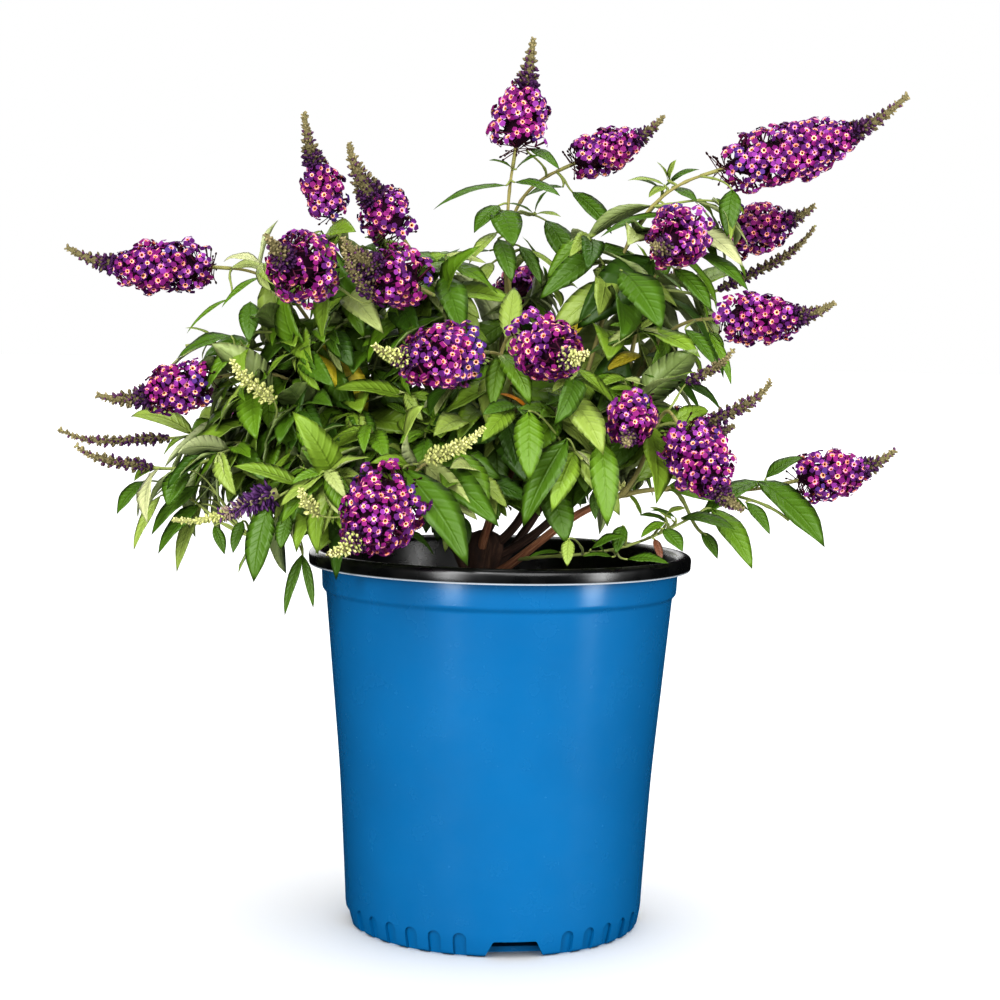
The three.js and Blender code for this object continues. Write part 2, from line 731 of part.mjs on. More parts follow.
// ---------------------------------------------------------------- putting it together

// Everything that stands, with its owner. A leaf's own mass only sees its blade, without the foot.
const placed = [];

function keep(piece, owner, blade = piece) {
  placed.push({ piece, owner, blade, box: piece.boundingBox() });
}

function apart(a, b, clear) {
  return [0, 1, 2].some((i) => a.min[i] > b.max[i] + clear || b.min[i] > a.max[i] + clear);
}

// True where a leaf stands clear of every other piece, and its blade of its own mass's blades.
function isClear(leaf, blade, owner, others = placed) {
  const box = leaf.boundingBox();
  return others.every((other) => {
    if (apart(box, other.box, LEAF_CLEAR)) {
      return true;
    }
    if (other.owner === owner) {
      return blade.minGap(other.blade, 2 * GAP) > GAP;
    }
    return leaf.minGap(other.piece, 2 * LEAF_CLEAR) > LEAF_CLEAR;
  });
}

// True where a leaf keeps to its own mass's space: no other mass's stem is much nearer.
function inOwnSpace({ root, along, long }, owner) {
  return [0.5, 1].every((share) => {
    const spot = root.clone().addScaledVector(along, long * share);
    const own = spines[owner].reduce((d, p) => Math.min(d, p.distanceTo(spot)), Infinity);
    return Object.entries(spines).every(([mass, points]) => mass === owner
      || points.every((p) => p.distanceTo(spot) > own - SPACE_SLACK));
  });
}

const spines = {};

// The stems of a mass: its shoots, with any spike of closed buds, and the leaves wanted on them.
function growShoots(mass, number) {
  const work = { mass, body: null, leaves: [], twigs: [] };
  spines[mass] = [];
  shootCurves(mass).forEach(({ curve, path, shoot }, i) => {
    const steps = path.curves.length;
    const foot = i ? mix(STEM_RADIUS, STEM_TIP_RADIUS, shoot.fork) * 0.85 : STEM_RADIUS;
    joinTurned(work, (turn) => tube(stations(curve, steps, (t) => mix(foot, STEM_TIP_RADIUS, t), turn), 3));
    if (shoot.long && !shoot.bloom) {
      joinTurned(work, (turn) => tube(spikeStations(shoot, BUDS, turn), BUD_SIDES));
    }
    spines[mass].push(...path.getSpacedPoints(12));
    const dress = dressShoot(path, i, number);
    work.leaves.push(...dress.leaves);
    work.twigs.push(...dress.twigs);
  });
  return work;
}

// A stem or twig is turned about itself until it joins cleanly. Nothing comes back if it never does.
function joinTurned(work, makeTube) {
  for (let turn = 0; turn < 1; turn += TURN_STEP) {
    const tubeSolid = solid(makeTube(turn));
    const body = joined(work.body, tubeSolid);
    if (body) {
      work.body = body;
      keep(tubeSolid, work.mass);
      return true;
    }
  }
  return false;
}

// A side twig stands only where it is clear of the other masses, and its leaves with it.
function growTwig(work, { line, leaves }) {
  const radiusAt = (t) => mix(SIDE_RADIUS, SIDE_TIP_RADIUS, t);
  const makeTwig = (turn) => tube(stations(line, 1, radiusAt, turn), 3);
  const twig = solid(makeTwig(0));
  const others = placed.filter(({ owner }) => owner !== work.mass);
  if (isClear(twig, twig, work.mass, others) && joinTurned(work, makeTwig)) {
    work.leaves.push(...leaves);
    spines[work.mass].push(...line.getPoints(3));
  }
}

function growLeaf(work, { spot, axis, angle, long, keys }) {
  for (let attempt = 0; attempt < TRIES; attempt += 1) {
    const leaf = leafAt(spot, axis, angle, long * (1 - attempt * TRY_SHORTER), [...keys, 10 + attempt]);
    const whole = leafSolid(leaf);
    const blade = leafSolid(leaf, LEAF_BARE);
    const clear = inOwnSpace(leaf, work.mass) && isClear(whole, blade, work.mass);
    const body = clear && joined(work.body, whole);
    if (body) {
      work.body = body;
      keep(whole, work.mass, blade);
      return;
    }
  }
}

// The masses grow together, one twig and then one leaf each in turn, so none crowds out another.
function growMasses(names) {
  const works = names.map(growShoots);
  works.forEach((work) => work.twigs.forEach((twig) => growTwig(work, twig)));
  const most = Math.max(...works.map(({ leaves }) => leaves.length));
  for (let turn = 0; turn < most; turn += 1) {
    works.filter(({ leaves }) => turn < leaves.length)
      .forEach((work) => growLeaf(work, work.leaves[turn]));
  }
  return works;
}

keep(place('pot', makePot(), 'pot', 0.35), 'pot');
keep(place('pot_rim', makeRim(), 'rim', 0.3), 'pot_rim');
keep(place('soil', makeSoil(), 'soil', 0.95), 'soil');
keep(place('trunk', makeTrunk(), 'bark', 0.85), 'trunk');

const trunkRoom = makeTrunk(GAP);
Object.keys(BOUGHS).forEach((name) => {
  keep(place(`bough_${name}`, makeBough(name, trunkRoom), 'bark', 0.85), `bough_${name}`);
});

SHOOTS.filter((shoot) => shoot.bloom).forEach((shoot) => {
  keep(place(`flower_${shoot.bloom}`, makeFlower(shoot), 'bloom', 0.6), `flower_${shoot.bloom}`);
});

growMasses(Object.keys(MASSES)).forEach(({ mass, body }) => {
  place(`foliage_${mass}`, body, 'leaf', 0.7);
});

export default plant;
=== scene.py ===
# %% [markdown]
# # A butterfly bush in its nursery pot
#
# A butterfly bush is a loose shrub: a short woody trunk, a few boughs, and long arching shoots
# that carry leaves in opposite pairs and end in tapering flower spikes. This lesson dresses the
# packed construction model with bark, shoots, leaves, florets, buds and a moulded plastic pot.
# Everything is made in the model's own frame, with +Z up, so nothing has to be fitted afterwards.

# %% Load the frame
import math
import bpy
import numpy as np
from mathutils import Matrix, Vector


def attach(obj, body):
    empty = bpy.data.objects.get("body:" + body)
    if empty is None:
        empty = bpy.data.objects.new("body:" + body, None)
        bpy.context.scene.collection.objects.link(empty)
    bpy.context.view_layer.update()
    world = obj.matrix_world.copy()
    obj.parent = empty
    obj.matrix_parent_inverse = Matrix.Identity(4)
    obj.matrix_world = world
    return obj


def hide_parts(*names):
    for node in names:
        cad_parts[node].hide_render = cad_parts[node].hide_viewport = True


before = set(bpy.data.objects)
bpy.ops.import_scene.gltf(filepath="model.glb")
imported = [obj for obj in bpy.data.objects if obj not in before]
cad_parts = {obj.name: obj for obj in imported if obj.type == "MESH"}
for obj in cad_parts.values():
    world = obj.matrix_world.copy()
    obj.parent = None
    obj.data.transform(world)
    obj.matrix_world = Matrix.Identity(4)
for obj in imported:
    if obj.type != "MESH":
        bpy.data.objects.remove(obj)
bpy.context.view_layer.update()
MM = 0.001

# %% [markdown]
# ## Small helpers
#
# Operators act on whatever is selected, so each piece starts from a clean selection. Colours are
# written as the familiar sRGB hex values, and one function turns them into the linear values that
# Blender's shaders work with. One function adds a node together with its settings and links.

# %% Selection, colours and nodes
def close_edit():
    bpy.ops.object.mode_set(mode="OBJECT")


def start_clean():
    if bpy.context.object and bpy.context.object.mode != "OBJECT":
        close_edit()
    bpy.ops.object.select_all(action="DESELECT")


def select_only(*objects):
    start_clean()
    for piece in objects:
        piece.select_set(True)
    bpy.context.view_layer.objects.active = objects[0]


def edit_all():
    """Opens the active piece in edit mode with everything on it selected."""
    bpy.ops.object.mode_set(mode="EDIT")
    bpy.ops.mesh.select_all(action="SELECT")


def select_vertices(piece, test):
    """In edit mode, selects only the vertices whose place, in mm, passes a test."""
    bpy.ops.object.mode_set(mode="EDIT")
    bpy.ops.mesh.select_mode(type="VERT")
    bpy.ops.mesh.select_all(action="DESELECT")
    close_edit()
    for vertex in piece.data.vertices:
        vertex.select = bool(test(vertex.co / MM))
    bpy.ops.object.mode_set(mode="EDIT")


def linear(code):
    channels = [int(code[i:i + 2], 16) / 255 for i in (1, 3, 5)]
    return (*[c / 12.92 if c <= 0.04045 else ((c + 0.055) / 1.055) ** 2.4 for c in channels], 1.0)


def add_node(tree, kind, values=None, links=None, **settings):
    node = tree.nodes.new(kind)
    for name, value in settings.items():
        setattr(node, name, value)
    for socket, value in (values or {}).items():
        node.inputs[socket].default_value = value
    for socket, source in (links or {}).items():
        tree.links.new(source, node.inputs[socket])
    return node


def set_ramp(ramp, *stops):
    """Sets a colour ramp's stops, each a place from 0 to 1 and a hex colour."""
    elements = ramp.color_ramp.elements
    for number, (place, code) in enumerate(stops):
        element = elements[number] if number < len(elements) else elements.new(place)
        element.position = place
        element.color = linear(code)


def new_material(name, colour, roughness, **values):
    """A material with one plain colour, and more of the shader's own sockets by name."""
    material = bpy.data.materials.new(name)
    material.use_nodes = True
    shader = material.node_tree.nodes["Principled BSDF"]
    shader.inputs["Base Color"].default_value = linear(colour)
    shader.inputs["Roughness"].default_value = roughness
    for socket, value in values.items():
        shader.inputs[socket.replace("_", " ")].default_value = value
    material.diffuse_color = linear(colour)
    return material, material.node_tree, shader


def felted(name, tint, roughness, grain, detail, strength, deep, **values):
    """A plain tint with a fine even relief: noise in the object's own space drives a bump."""
    material, tree, shader = new_material(name, tint, roughness, **values)
    place = add_node(tree, "ShaderNodeTexCoord").outputs["Object"]
    felt = add_node(tree, "ShaderNodeTexNoise", {"Scale": grain, "Detail": detail}, {"Vector": place})
    bump = add_node(tree, "ShaderNodeBump", {"Strength": strength, "Distance": deep},
                    {"Height": felt.outputs["Fac"]})
    tree.links.new(bump.outputs["Normal"], shader.inputs["Normal"])
    return material


print("helpers ready")

# %% [markdown]
# ## Camera, floor and light
#
# The camera stands a little above the middle of the plant and looks slightly down, with a long
# lens, as in a catalogue studio. It leans by about one degree. The floor is a plain pale disc,
# finished as matt paper.
#
# A dim, even sky fills the shadows, two broad suns from the left and right front give form, and
# two from behind catch the top of the plant and its far side. Two tall strip lights draw the long
# soft highlights on the pot. Around them the studio is dark, so the pot's sides have nothing bright
# to mirror and stay deep blue. The floor has a lamp of its own that shines straight down on it
# alone and leaves only a faint shadow. The backdrop is white where the camera sees it.

# %% Camera
CAMERA_PLACE = (-0.7, -1278.0, 343.0)
CAMERA_LENS = 76.7
SENSOR_WIDTH = 36.0
CAMERA_DOWN = 3.94
CAMERA_LEAN = 1.2

camera_data = bpy.data.cameras.new("camera")
camera_data.lens = CAMERA_LENS
camera_data.sensor_width = SENSOR_WIDTH
camera = bpy.data.objects.new("camera", camera_data)
bpy.context.scene.collection.objects.link(camera)
turn = Matrix.Rotation(math.radians(90 - CAMERA_DOWN), 4, "X")
turn = turn @ Matrix.Rotation(math.radians(CAMERA_LEAN), 4, "Z")
camera.matrix_world = Matrix.Translation(Vector(CAMERA_PLACE) * MM) @ turn
bpy.context.scene.camera = camera
print("camera at", CAMERA_PLACE, "mm")

# %% Floor
FLOOR_RADIUS = 60.0

start_clean()
bpy.ops.mesh.primitive_circle_add(vertices=96, radius=FLOOR_RADIUS, fill_type="NGON", location=(0, 0, 0))
floor = bpy.context.object
floor.name = "studio_floor"
floor.data.materials.append(felted("pale paper sweep", "#fbfbfb", 0.9, 900.0, 3.0, 0.02, 0.0002))
floor.visible_glossy = False
print("floor radius", FLOOR_RADIUS, "m")

# %% Light
SUNS = {
    "left_key": {"come_from": (-0.36, -1.00, 0.80), "strength": 2.55, "spread": 30},
    "right_key": {"come_from": (0.36, -1.00, 0.50), "strength": 1.95, "spread": 40},
    "back_light": {"come_from": (0.15, 0.60, 1.20), "strength": 1.6, "spread": 40},
    "back_fill": {"come_from": (-0.30, 1.00, 0.35), "strength": 0.8, "spread": 40},
    "floor_wash": {"come_from": (0.00, 0.00, 1.00), "strength": 3.7, "spread": 165},
}
SKY_LIGHT = 0.27
SKY_IN_GLOSS = 0.03
PRINT_GAMMA = 0.82
STRIPS = {"left_strip": -29, "right_strip": 60}
STRIP_AWAY = 1.5
STRIP_HEIGHT = 0.32
STRIP_AIM = Vector((0, 0, 0.12))
STRIP_SIZE = (0.35, 1.1)
STRIP_POWER = 20.0


def add_lamp(name, kind, place, aim):
    lamp = bpy.data.objects.new(name, bpy.data.lights.new(name, kind))
    bpy.context.scene.collection.objects.link(lamp)
    lamp.location = place
    lamp.rotation_euler = (aim - place).to_track_quat("-Z", "Y").to_euler()
    return lamp


def share_floor(name, state):
    """A list for light linking that holds only the floor, to be lit or to be left out."""
    group = bpy.data.collections.new(name)
    group.objects.link(floor)
    group.collection_objects[0].light_linking.link_state = state
    return group


floor_only = share_floor("lit by the floor's lamp", "INCLUDE")
not_floor = share_floor("not lit by the other lamps", "EXCLUDE")
lamps = []
for name, sun in SUNS.items():
    lamps.append(add_lamp(name, "SUN", Vector(sun["come_from"]), Vector()))
    lamps[-1].data.energy = sun["strength"]
    lamps[-1].data.angle = math.radians(sun["spread"])
for name, azimuth in STRIPS.items():
    turn = math.radians(azimuth)
    place = Vector((math.sin(turn) * STRIP_AWAY, -math.cos(turn) * STRIP_AWAY, STRIP_HEIGHT))
    lamps.append(add_lamp(name, "AREA", place, STRIP_AIM))
    lamps[-1].data.shape = "RECTANGLE"
    lamps[-1].data.size, lamps[-1].data.size_y = STRIP_SIZE
    lamps[-1].data.energy = STRIP_POWER
for lamp in lamps:
    lamp.light_linking.receiver_collection = floor_only if lamp.name == "floor_wash" else not_floor

world = bpy.data.worlds.new("studio")
world.use_nodes = True
sky = world.node_tree
ray = add_node(sky, "ShaderNodeLightPath")
dimmed = add_node(sky, "ShaderNodeMapRange", {"To Min": SKY_LIGHT, "To Max": SKY_LIGHT * SKY_IN_GLOSS},
                  {"Value": ray.outputs["Is Glossy Ray"]})
strength = add_node(sky, "ShaderNodeMapRange", {"To Max": 1.0},
                    {"Value": ray.outputs["Is Camera Ray"], "To Min": dimmed.outputs["Result"]})
sky.nodes["Background"].inputs["Color"].default_value = (1, 1, 1, 1)
sky.links.new(strength.outputs["Result"], sky.nodes["Background"].inputs["Strength"])
bpy.context.scene.world = world
bpy.context.scene.view_settings.view_transform = "Standard"
bpy.context.scene.view_settings.gamma = PRINT_GAMMA
print("lamps:", [lamp.name for lamp in lamps])

# %% [markdown]
# ## The finished piece
#
# Every piece ends the same way: it sits at the origin with its place in its mesh, it rides on the
# one body of the plant, the construction nodes it stands for are hidden, and its materials are
# added to it.

# %% Finishing
pieces = []


def finish_piece(piece, name, nodes, materials=()):
    piece.name = name
    piece.data.name = name
    for material in materials:
        piece.data.materials.append(material)
    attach(piece, "root")
    if nodes:
        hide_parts(*nodes)
    pieces.append(piece)
    faces = sum(len(p.vertices) - 2 for p in piece.data.polygons)
    print(f"{name}: {faces} triangles for {len(nodes)} nodes")
    return piece


# %% [markdown]
# ## The plastic pot
#
# A nursery pot is injection moulded from polypropylene: a thin round wall with a slight taper,
# a stacking band under the rim, scooped flutes that stiffen the bottom edge and four drain
# notches. A turned shape is quickest made as a lathe does it: an outline is drawn as a chain of
# vertices and spun round the axis. The flutes and notches are cut afterwards with a Boolean, as
# a milling cutter would cut them in the mould.

# %% Pot sizes
POT_HEIGHT = 225.0
RIM_RADIUS = 115.0
RIM_TALL = 9.5
NECK_RADIUS = 107.0
BAND_HEIGHT = 199.0
BAND_RADIUS = 104.0
WAIST_HEIGHT = 91.0
WAIST_RADIUS = 94.0
FOOT_HEIGHT = 14.0
FOOT_RADIUS = 89.5
BASE_RADIUS = 85.0
WALL = 1.3
SOIL_TOP = 195.0
POT_STEPS = 144
RIM_FOOT = POT_HEIGHT - RIM_TALL

NOTCHES = 4
NOTCH_AZIMUTH = 278.5
NOTCH_WIDE = 36.0
NOTCH_TOP = 25.0
NOTCH_TALL = 9.5
NOTCH_DEEP = 14.0

FLUTES = 6
FLUTE_FIRST = 20.5
FLUTE_WIDE = 8.0
FLUTE_TALL = 14.5
FLUTE_DEEP = 2.3
FLUTE_LEAN = 14.0
CUTTER_SPARE = 12.0


def rounded(corner_list, steps=4):
    """Points along an outline. A corner given as (r, z, radius) is rounded by a quadratic curve."""
    points = []
    for i, corner in enumerate(corner_list):
        here = np.array(corner[:2], float)
        if len(corner) == 2:
            points.append(here)
            continue
        before = np.array(corner_list[i - 1][:2], float) - here
        after = np.array(corner_list[i + 1][:2], float) - here
        first = here + before / np.linalg.norm(before) * corner[2]
        last = here + after / np.linalg.norm(after) * corner[2]
        for k in range(steps + 1):
            t = k / steps
            points.append((1 - t) ** 2 * first + 2 * t * (1 - t) * here + t ** 2 * last)
    return points


print("flutes per quarter:", FLUTES, "notches:", NOTCHES)


# %% Turning an outline on the lathe
def turned(outline, steps=POT_STEPS):
    start_clean()
    r, z = outline[0]
    bpy.ops.mesh.primitive_plane_add(size=0.01, location=(r * MM, 0, z * MM))
    piece = bpy.context.object
    bpy.ops.object.transform_apply()
    edit_all()
    bpy.ops.mesh.merge(type="CENTER")
    for (r0, z0), (r1, z1) in zip(outline, outline[1:]):
        step = ((r1 - r0) * MM, 0, (z1 - z0) * MM)
        bpy.ops.mesh.extrude_region_move(TRANSFORM_OT_translate={"value": step})
    bpy.ops.mesh.select_all(action="SELECT")
    bpy.ops.mesh.spin(steps=steps, angle=2 * math.pi, center=(0, 0, 0), axis=(0, 0, 1))
    bpy.ops.mesh.select_all(action="SELECT")
    bpy.ops.mesh.remove_doubles(threshold=1e-6)
    bpy.ops.mesh.normals_make_consistent(inside=False)
    close_edit()
    return piece


pot = turned(rounded([
    (0, 0),
    (BASE_RADIUS - 2, 0),
    (FOOT_RADIUS - 2, 0.4, 2.5),
    (FOOT_RADIUS, FOOT_HEIGHT * 0.8, 3),
    (FOOT_RADIUS + 0.6, FOOT_HEIGHT + 10),
    (WAIST_RADIUS, WAIST_HEIGHT, 20),
    (BAND_RADIUS, BAND_HEIGHT, 1.2),
    (NECK_RADIUS - 0.7, BAND_HEIGHT + 2.6, 1.2),
    (NECK_RADIUS, RIM_FOOT),
    (NECK_RADIUS - WALL, RIM_FOOT),
    (BAND_RADIUS - WALL, BAND_HEIGHT),
    (WAIST_RADIUS - WALL, WAIST_HEIGHT),
    (FOOT_RADIUS - 3 * WALL, FOOT_HEIGHT + 8),
    (BASE_RADIUS - 4 * WALL, 3.2),
    (0, 3.2),
]))
print("pot outline turned,", len(pot.data.vertices), "vertices")


# %% Cutters for the flutes and notches
def flute_cutter(azimuth):
    """A slot with round ends, pushed against the wall and leaning with its bottom edge."""
    start_clean()
    bpy.ops.mesh.primitive_circle_add(vertices=20, radius=FLUTE_WIDE / 2 * MM, fill_type="NGON",
                                      location=(0, 0, 0), rotation=(math.pi / 2, 0, 0))
    cutter = bpy.context.object
    bpy.ops.object.transform_apply()
    select_vertices(cutter, lambda place: place.z < -0.01)
    bpy.ops.transform.translate(value=(0, 0, -FLUTE_TALL * MM))
    bpy.ops.mesh.select_all(action="SELECT")
    bpy.ops.mesh.extrude_region_move(TRANSFORM_OT_translate={"value": (0, -CUTTER_SPARE * MM, 0)})
    bpy.ops.mesh.select_all(action="SELECT")
    bpy.ops.mesh.normals_make_consistent(inside=False)
    close_edit()
    place = Matrix.Rotation(math.radians(azimuth + 90), 4, "Z")
    reach = FOOT_RADIUS - FLUTE_DEEP
    place = place @ Matrix.Translation(Vector((0, -reach, FLUTE_TALL - FLUTE_WIDE / 2)) * MM)
    cutter.matrix_world = place @ Matrix.Rotation(math.radians(FLUTE_LEAN), 4, "X")
    bpy.ops.object.transform_apply()
    return cutter


def notch_cutter(azimuth):
    """A wedge-sided block, narrower at its top, pushed in under the wall."""
    start_clean()
    bpy.ops.mesh.primitive_cube_add(size=1, location=(0, 0, 0))
    cutter = bpy.context.object
    cutter.scale = (NOTCH_WIDE * MM, (NOTCH_DEEP + CUTTER_SPARE) * MM, (NOTCH_TALL + 2) * MM)
    bpy.ops.object.transform_apply()
    select_vertices(cutter, lambda place: place.z > 0)
    bpy.ops.transform.resize(value=(NOTCH_TOP / NOTCH_WIDE, 1, 1))
    bpy.ops.mesh.select_all(action="SELECT")
    bpy.ops.mesh.bevel(offset=1.2 * MM, segments=3)
    close_edit()
    place = Matrix.Rotation(math.radians(azimuth + 90), 4, "Z")
    reach = FOOT_RADIUS + 5 - NOTCH_DEEP / 2
    cutter.matrix_world = place @ Matrix.Translation(Vector((0, -reach, NOTCH_TALL / 2 - 1)) * MM)
    bpy.ops.object.transform_apply()
    return cutter


quarter = 360 / NOTCHES
flute_step = (quarter - 2 * FLUTE_FIRST) / (FLUTES - 1)
cutters = []
for i in range(NOTCHES):
    middle = NOTCH_AZIMUTH + quarter * i
    cutters.append(notch_cutter(middle))
    cutters += [flute_cutter(middle + FLUTE_FIRST + flute_step * k) for k in range(FLUTES)]
select_only(*cutters)
bpy.ops.object.join()
cutter = bpy.context.object
print("cutters joined:", len(cutters))

# %% Cut the pot
select_only(pot)
cut = pot.modifiers.new("cut", "BOOLEAN")
cut.operation = "DIFFERENCE"
cut.solver = "EXACT"
cut.object = cutter
bpy.ops.object.modifier_apply(modifier=cut.name)
bpy.data.objects.remove(cutter)
bpy.ops.object.shade_smooth_by_angle(angle=math.radians(28))
print("pot after cutting:", len(pot.data.polygons), "faces")

# %% [markdown]
# ### Moulded polypropylene
#
# The wall is mid blue polypropylene with a satin skin. What the eye reads is a broad soft
# highlight, slightly broken by the mould's fine orange-peel texture, and a faint cloudiness in
# the pigment. The index of refraction of polypropylene is 1.49.

# %% Pot material
POLYPROPYLENE_IOR = 1.49


def blue_polypropylene():
    material, tree, shader = new_material("blue polypropylene, satin moulded", "#006495", 0.34,
                                          IOR=POLYPROPYLENE_IOR)
    place = add_node(tree, "ShaderNodeTexCoord").outputs["Object"]
    cloud = add_node(tree, "ShaderNodeTexNoise", {"Scale": 14.0, "Detail": 4.0}, {"Vector": place})
    colour = add_node(tree, "ShaderNodeValToRGB", links={"Fac": cloud.outputs["Fac"]})
    set_ramp(colour, (0, "#005480"), (1, "#005f8e"))
    peel = add_node(tree, "ShaderNodeTexNoise", {"Scale": 420.0, "Detail": 2.0}, {"Vector": place})
    bump = add_node(tree, "ShaderNodeBump", {"Strength": 0.05, "Distance": 0.0004},
                    {"Height": peel.outputs["Fac"]})
    scuff = add_node(tree, "ShaderNodeTexNoise", {"Scale": 60.0, "Detail": 6.0}, {"Vector": place})
    gloss = add_node(tree, "ShaderNodeMapRange", {"To Min": 0.2, "To Max": 0.32},
                     {"Value": scuff.outputs["Fac"]})
    tree.links.new(colour.outputs["Color"], shader.inputs["Base Color"])
    tree.links.new(bump.outputs["Normal"], shader.inputs["Normal"])
    tree.links.new(gloss.outputs["Result"], shader.inputs["Roughness"])
    return material


finish_piece(pot, "pot_wall", ["pot"], [blue_polypropylene()])

# %% [markdown]
# ### The black rim
#
# The rim is a second moulding in glossy black. It rolls outwards over the wall and runs down
# inside to the potting mix. Its top catches a soft sheen. A thin pale line along the outside of
# its lower lip is a painted highlight.

# %% Rim
LIP_DEEP = 4.0
LIP_TALL = 0.8

rim_outline = rounded([
    (NECK_RADIUS - WALL, RIM_FOOT + 0.4),
    (RIM_RADIUS - 0.6, RIM_FOOT + 0.2, 1.2),
    (RIM_RADIUS, POT_HEIGHT - 1.2, 3.0),
    (RIM_RADIUS - 5, POT_HEIGHT, 2.4),
    (RIM_RADIUS - 9, POT_HEIGHT - 2.2, 2.0),
    (NECK_RADIUS - 2 * WALL, RIM_FOOT - 1),
    (BAND_RADIUS - 2 * WALL, SOIL_TOP - 6),
    (BAND_RADIUS - WALL - 0.4, SOIL_TOP - 6),
    (BAND_RADIUS - WALL - 0.4, BAND_HEIGHT),
    (NECK_RADIUS - WALL - 0.3, RIM_FOOT + 0.4),
])
rim = turned(rim_outline + rim_outline[:1])
bpy.ops.object.shade_smooth_by_angle(angle=math.radians(35))


def black_polypropylene():
    material, tree, shader = new_material("black polypropylene, glossy moulded", "#101113", 0.22,
                                          IOR=POLYPROPYLENE_IOR, Specular_IOR_Level=0.6)
    place = add_node(tree, "ShaderNodeTexCoord").outputs["Object"]
    dust = add_node(tree, "ShaderNodeTexNoise", {"Scale": 70.0, "Detail": 8.0}, {"Vector": place})
    colour = add_node(tree, "ShaderNodeValToRGB", links={"Fac": dust.outputs["Fac"]})
    set_ramp(colour, (0.45, "#040506"), (0.8, "#121212"))
    gloss = add_node(tree, "ShaderNodeMapRange", {"To Min": 0.16, "To Max": 0.4},
                     {"Value": dust.outputs["Fac"]})
    bump = add_node(tree, "ShaderNodeBump", {"Strength": 0.06, "Distance": 0.0005},
                    {"Height": dust.outputs["Fac"]})
    level = add_node(tree, "ShaderNodeVectorMath", {1: (1, 1, 0)}, {0: place}, operation="MULTIPLY")
    reach = add_node(tree, "ShaderNodeVectorMath", links={0: level.outputs[0]}, operation="LENGTH")
    # The pale band just above the lower edge, on the outside only, is a painted highlight on the lip.
    outside = add_node(tree, "ShaderNodeMath", {1: (RIM_RADIUS - LIP_DEEP) * MM},
                       {0: reach.outputs["Value"]}, operation="GREATER_THAN")
    height = add_node(tree, "ShaderNodeSeparateXYZ", links={"Vector": place}).outputs["Z"]
    lip = add_node(tree, "ShaderNodeMapRange", {"From Min": (RIM_FOOT + 2 * LIP_TALL) * MM,
                                                "From Max": (RIM_FOOT + LIP_TALL) * MM}, {"Value": height})
    lip_highlight = add_node(tree, "ShaderNodeMath", links={0: lip.outputs[0], 1: outside.outputs[0]},
                    operation="MULTIPLY")
    finish = add_node(tree, "ShaderNodeMix", {7: linear("#a8aeb4")},
                      {0: lip_highlight.outputs[0], 6: colour.outputs["Color"]}, data_type="RGBA")
    tree.links.new(finish.outputs[2], shader.inputs["Base Color"])
    tree.links.new(gloss.outputs["Result"], shader.inputs["Roughness"])
    tree.links.new(bump.outputs["Normal"], shader.inputs["Normal"])
    return material


finish_piece(rim, "pot_rim_black", ["pot_rim"], [black_polypropylene()])

# %% [markdown]
# ## The plant's rule
#
# The plant grows by the same seeded rule as the construction model. A few named sizes say where
# each bough's tip stands and where each flower spike starts and points. Everything between is
# worked out: a shoot is one smooth arc from the bough's tip to its spike, leaf pairs stand along
# it, each pair turned a quarter from the last, and a leaf tries again, a little shorter, if it
# would leave its own space. The rule uses chances that come from the leaf's own place, so the
# same leaf is always the same.

# %% Chances and directions
SEED = 8
UP = np.array([0.0, 0.0, 1.0])
RIGHT = np.array([1.0, 0.0, 0.0])
WORD = 0xFFFFFFFF
HASH_START = 2166136261
FIRST_PRIME = 16777619
SECOND_PRIME = 1540483477


def chance(*keys):
    """A number from 0 to 1 that depends only on the seed and the keys."""
    value = HASH_START
    for key in (SEED, *keys):
        value = ((value ^ key) * FIRST_PRIME) & WORD
        value = ((value ^ (value >> 13)) * SECOND_PRIME) & WORD
        value = (value ^ (value >> 15)) & WORD
    return value / (WORD + 1)


def mix(low, high, t):
    return low + (high - low) * t


def pick(limits, *keys):
    """A seeded value between two limits."""
    return mix(*limits, chance(*keys))


def unit(v):
    return v / np.linalg.norm(v)


def heading(azimuth, elevation):
    a, e = math.radians(azimuth), math.radians(elevation)
    return np.array([math.cos(e) * math.cos(a), math.cos(e) * math.sin(a), math.sin(e)])


def square(axis):
    """Two directions square to an axis: one level, one rising."""
    side = np.cross(axis, UP)
    nearly_upright = np.linalg.norm(side) < 0.2
    side = unit(np.cross(axis, RIGHT) if nearly_upright else side)
    return side, unit(np.cross(side, axis))


def around(side, rise, angle):
    """The direction at an angle round an axis, from two directions square to it."""
    return side * math.cos(angle) + rise * math.sin(angle)


print("first chances:", [round(chance(0, 0, 0, k), 3) for k in range(4)])


# %% Arcs
class Arc:
    """A smooth run from one point to another with a heading at each end."""

    def __init__(self, start, start_heading, end, end_heading, pull=0.36):
        reach = np.linalg.norm(end - start) * pull
        self.corners = [start, start + start_heading * reach, end - end_heading * reach, end]

    def at(self, t):
        a, b, c, d = self.corners
        s = 1 - t
        return s ** 3 * a + 3 * s * s * t * b + 3 * s * t * t * c + t ** 3 * d

    def axis(self, t):
        a, b, c, d = self.corners
        s = 1 - t
        return unit(3 * s * s * (b - a) + 6 * s * t * (c - b) + 3 * t * t * (d - c))

    def length(self, steps=40):
        spots = [self.at(i / steps) for i in range(steps + 1)]
        return sum(np.linalg.norm(q - p) for p, q in zip(spots, spots[1:]))


print("arc of a quarter turn:", round(Arc(RIGHT * 0, RIGHT, RIGHT + UP, UP).length(), 3))

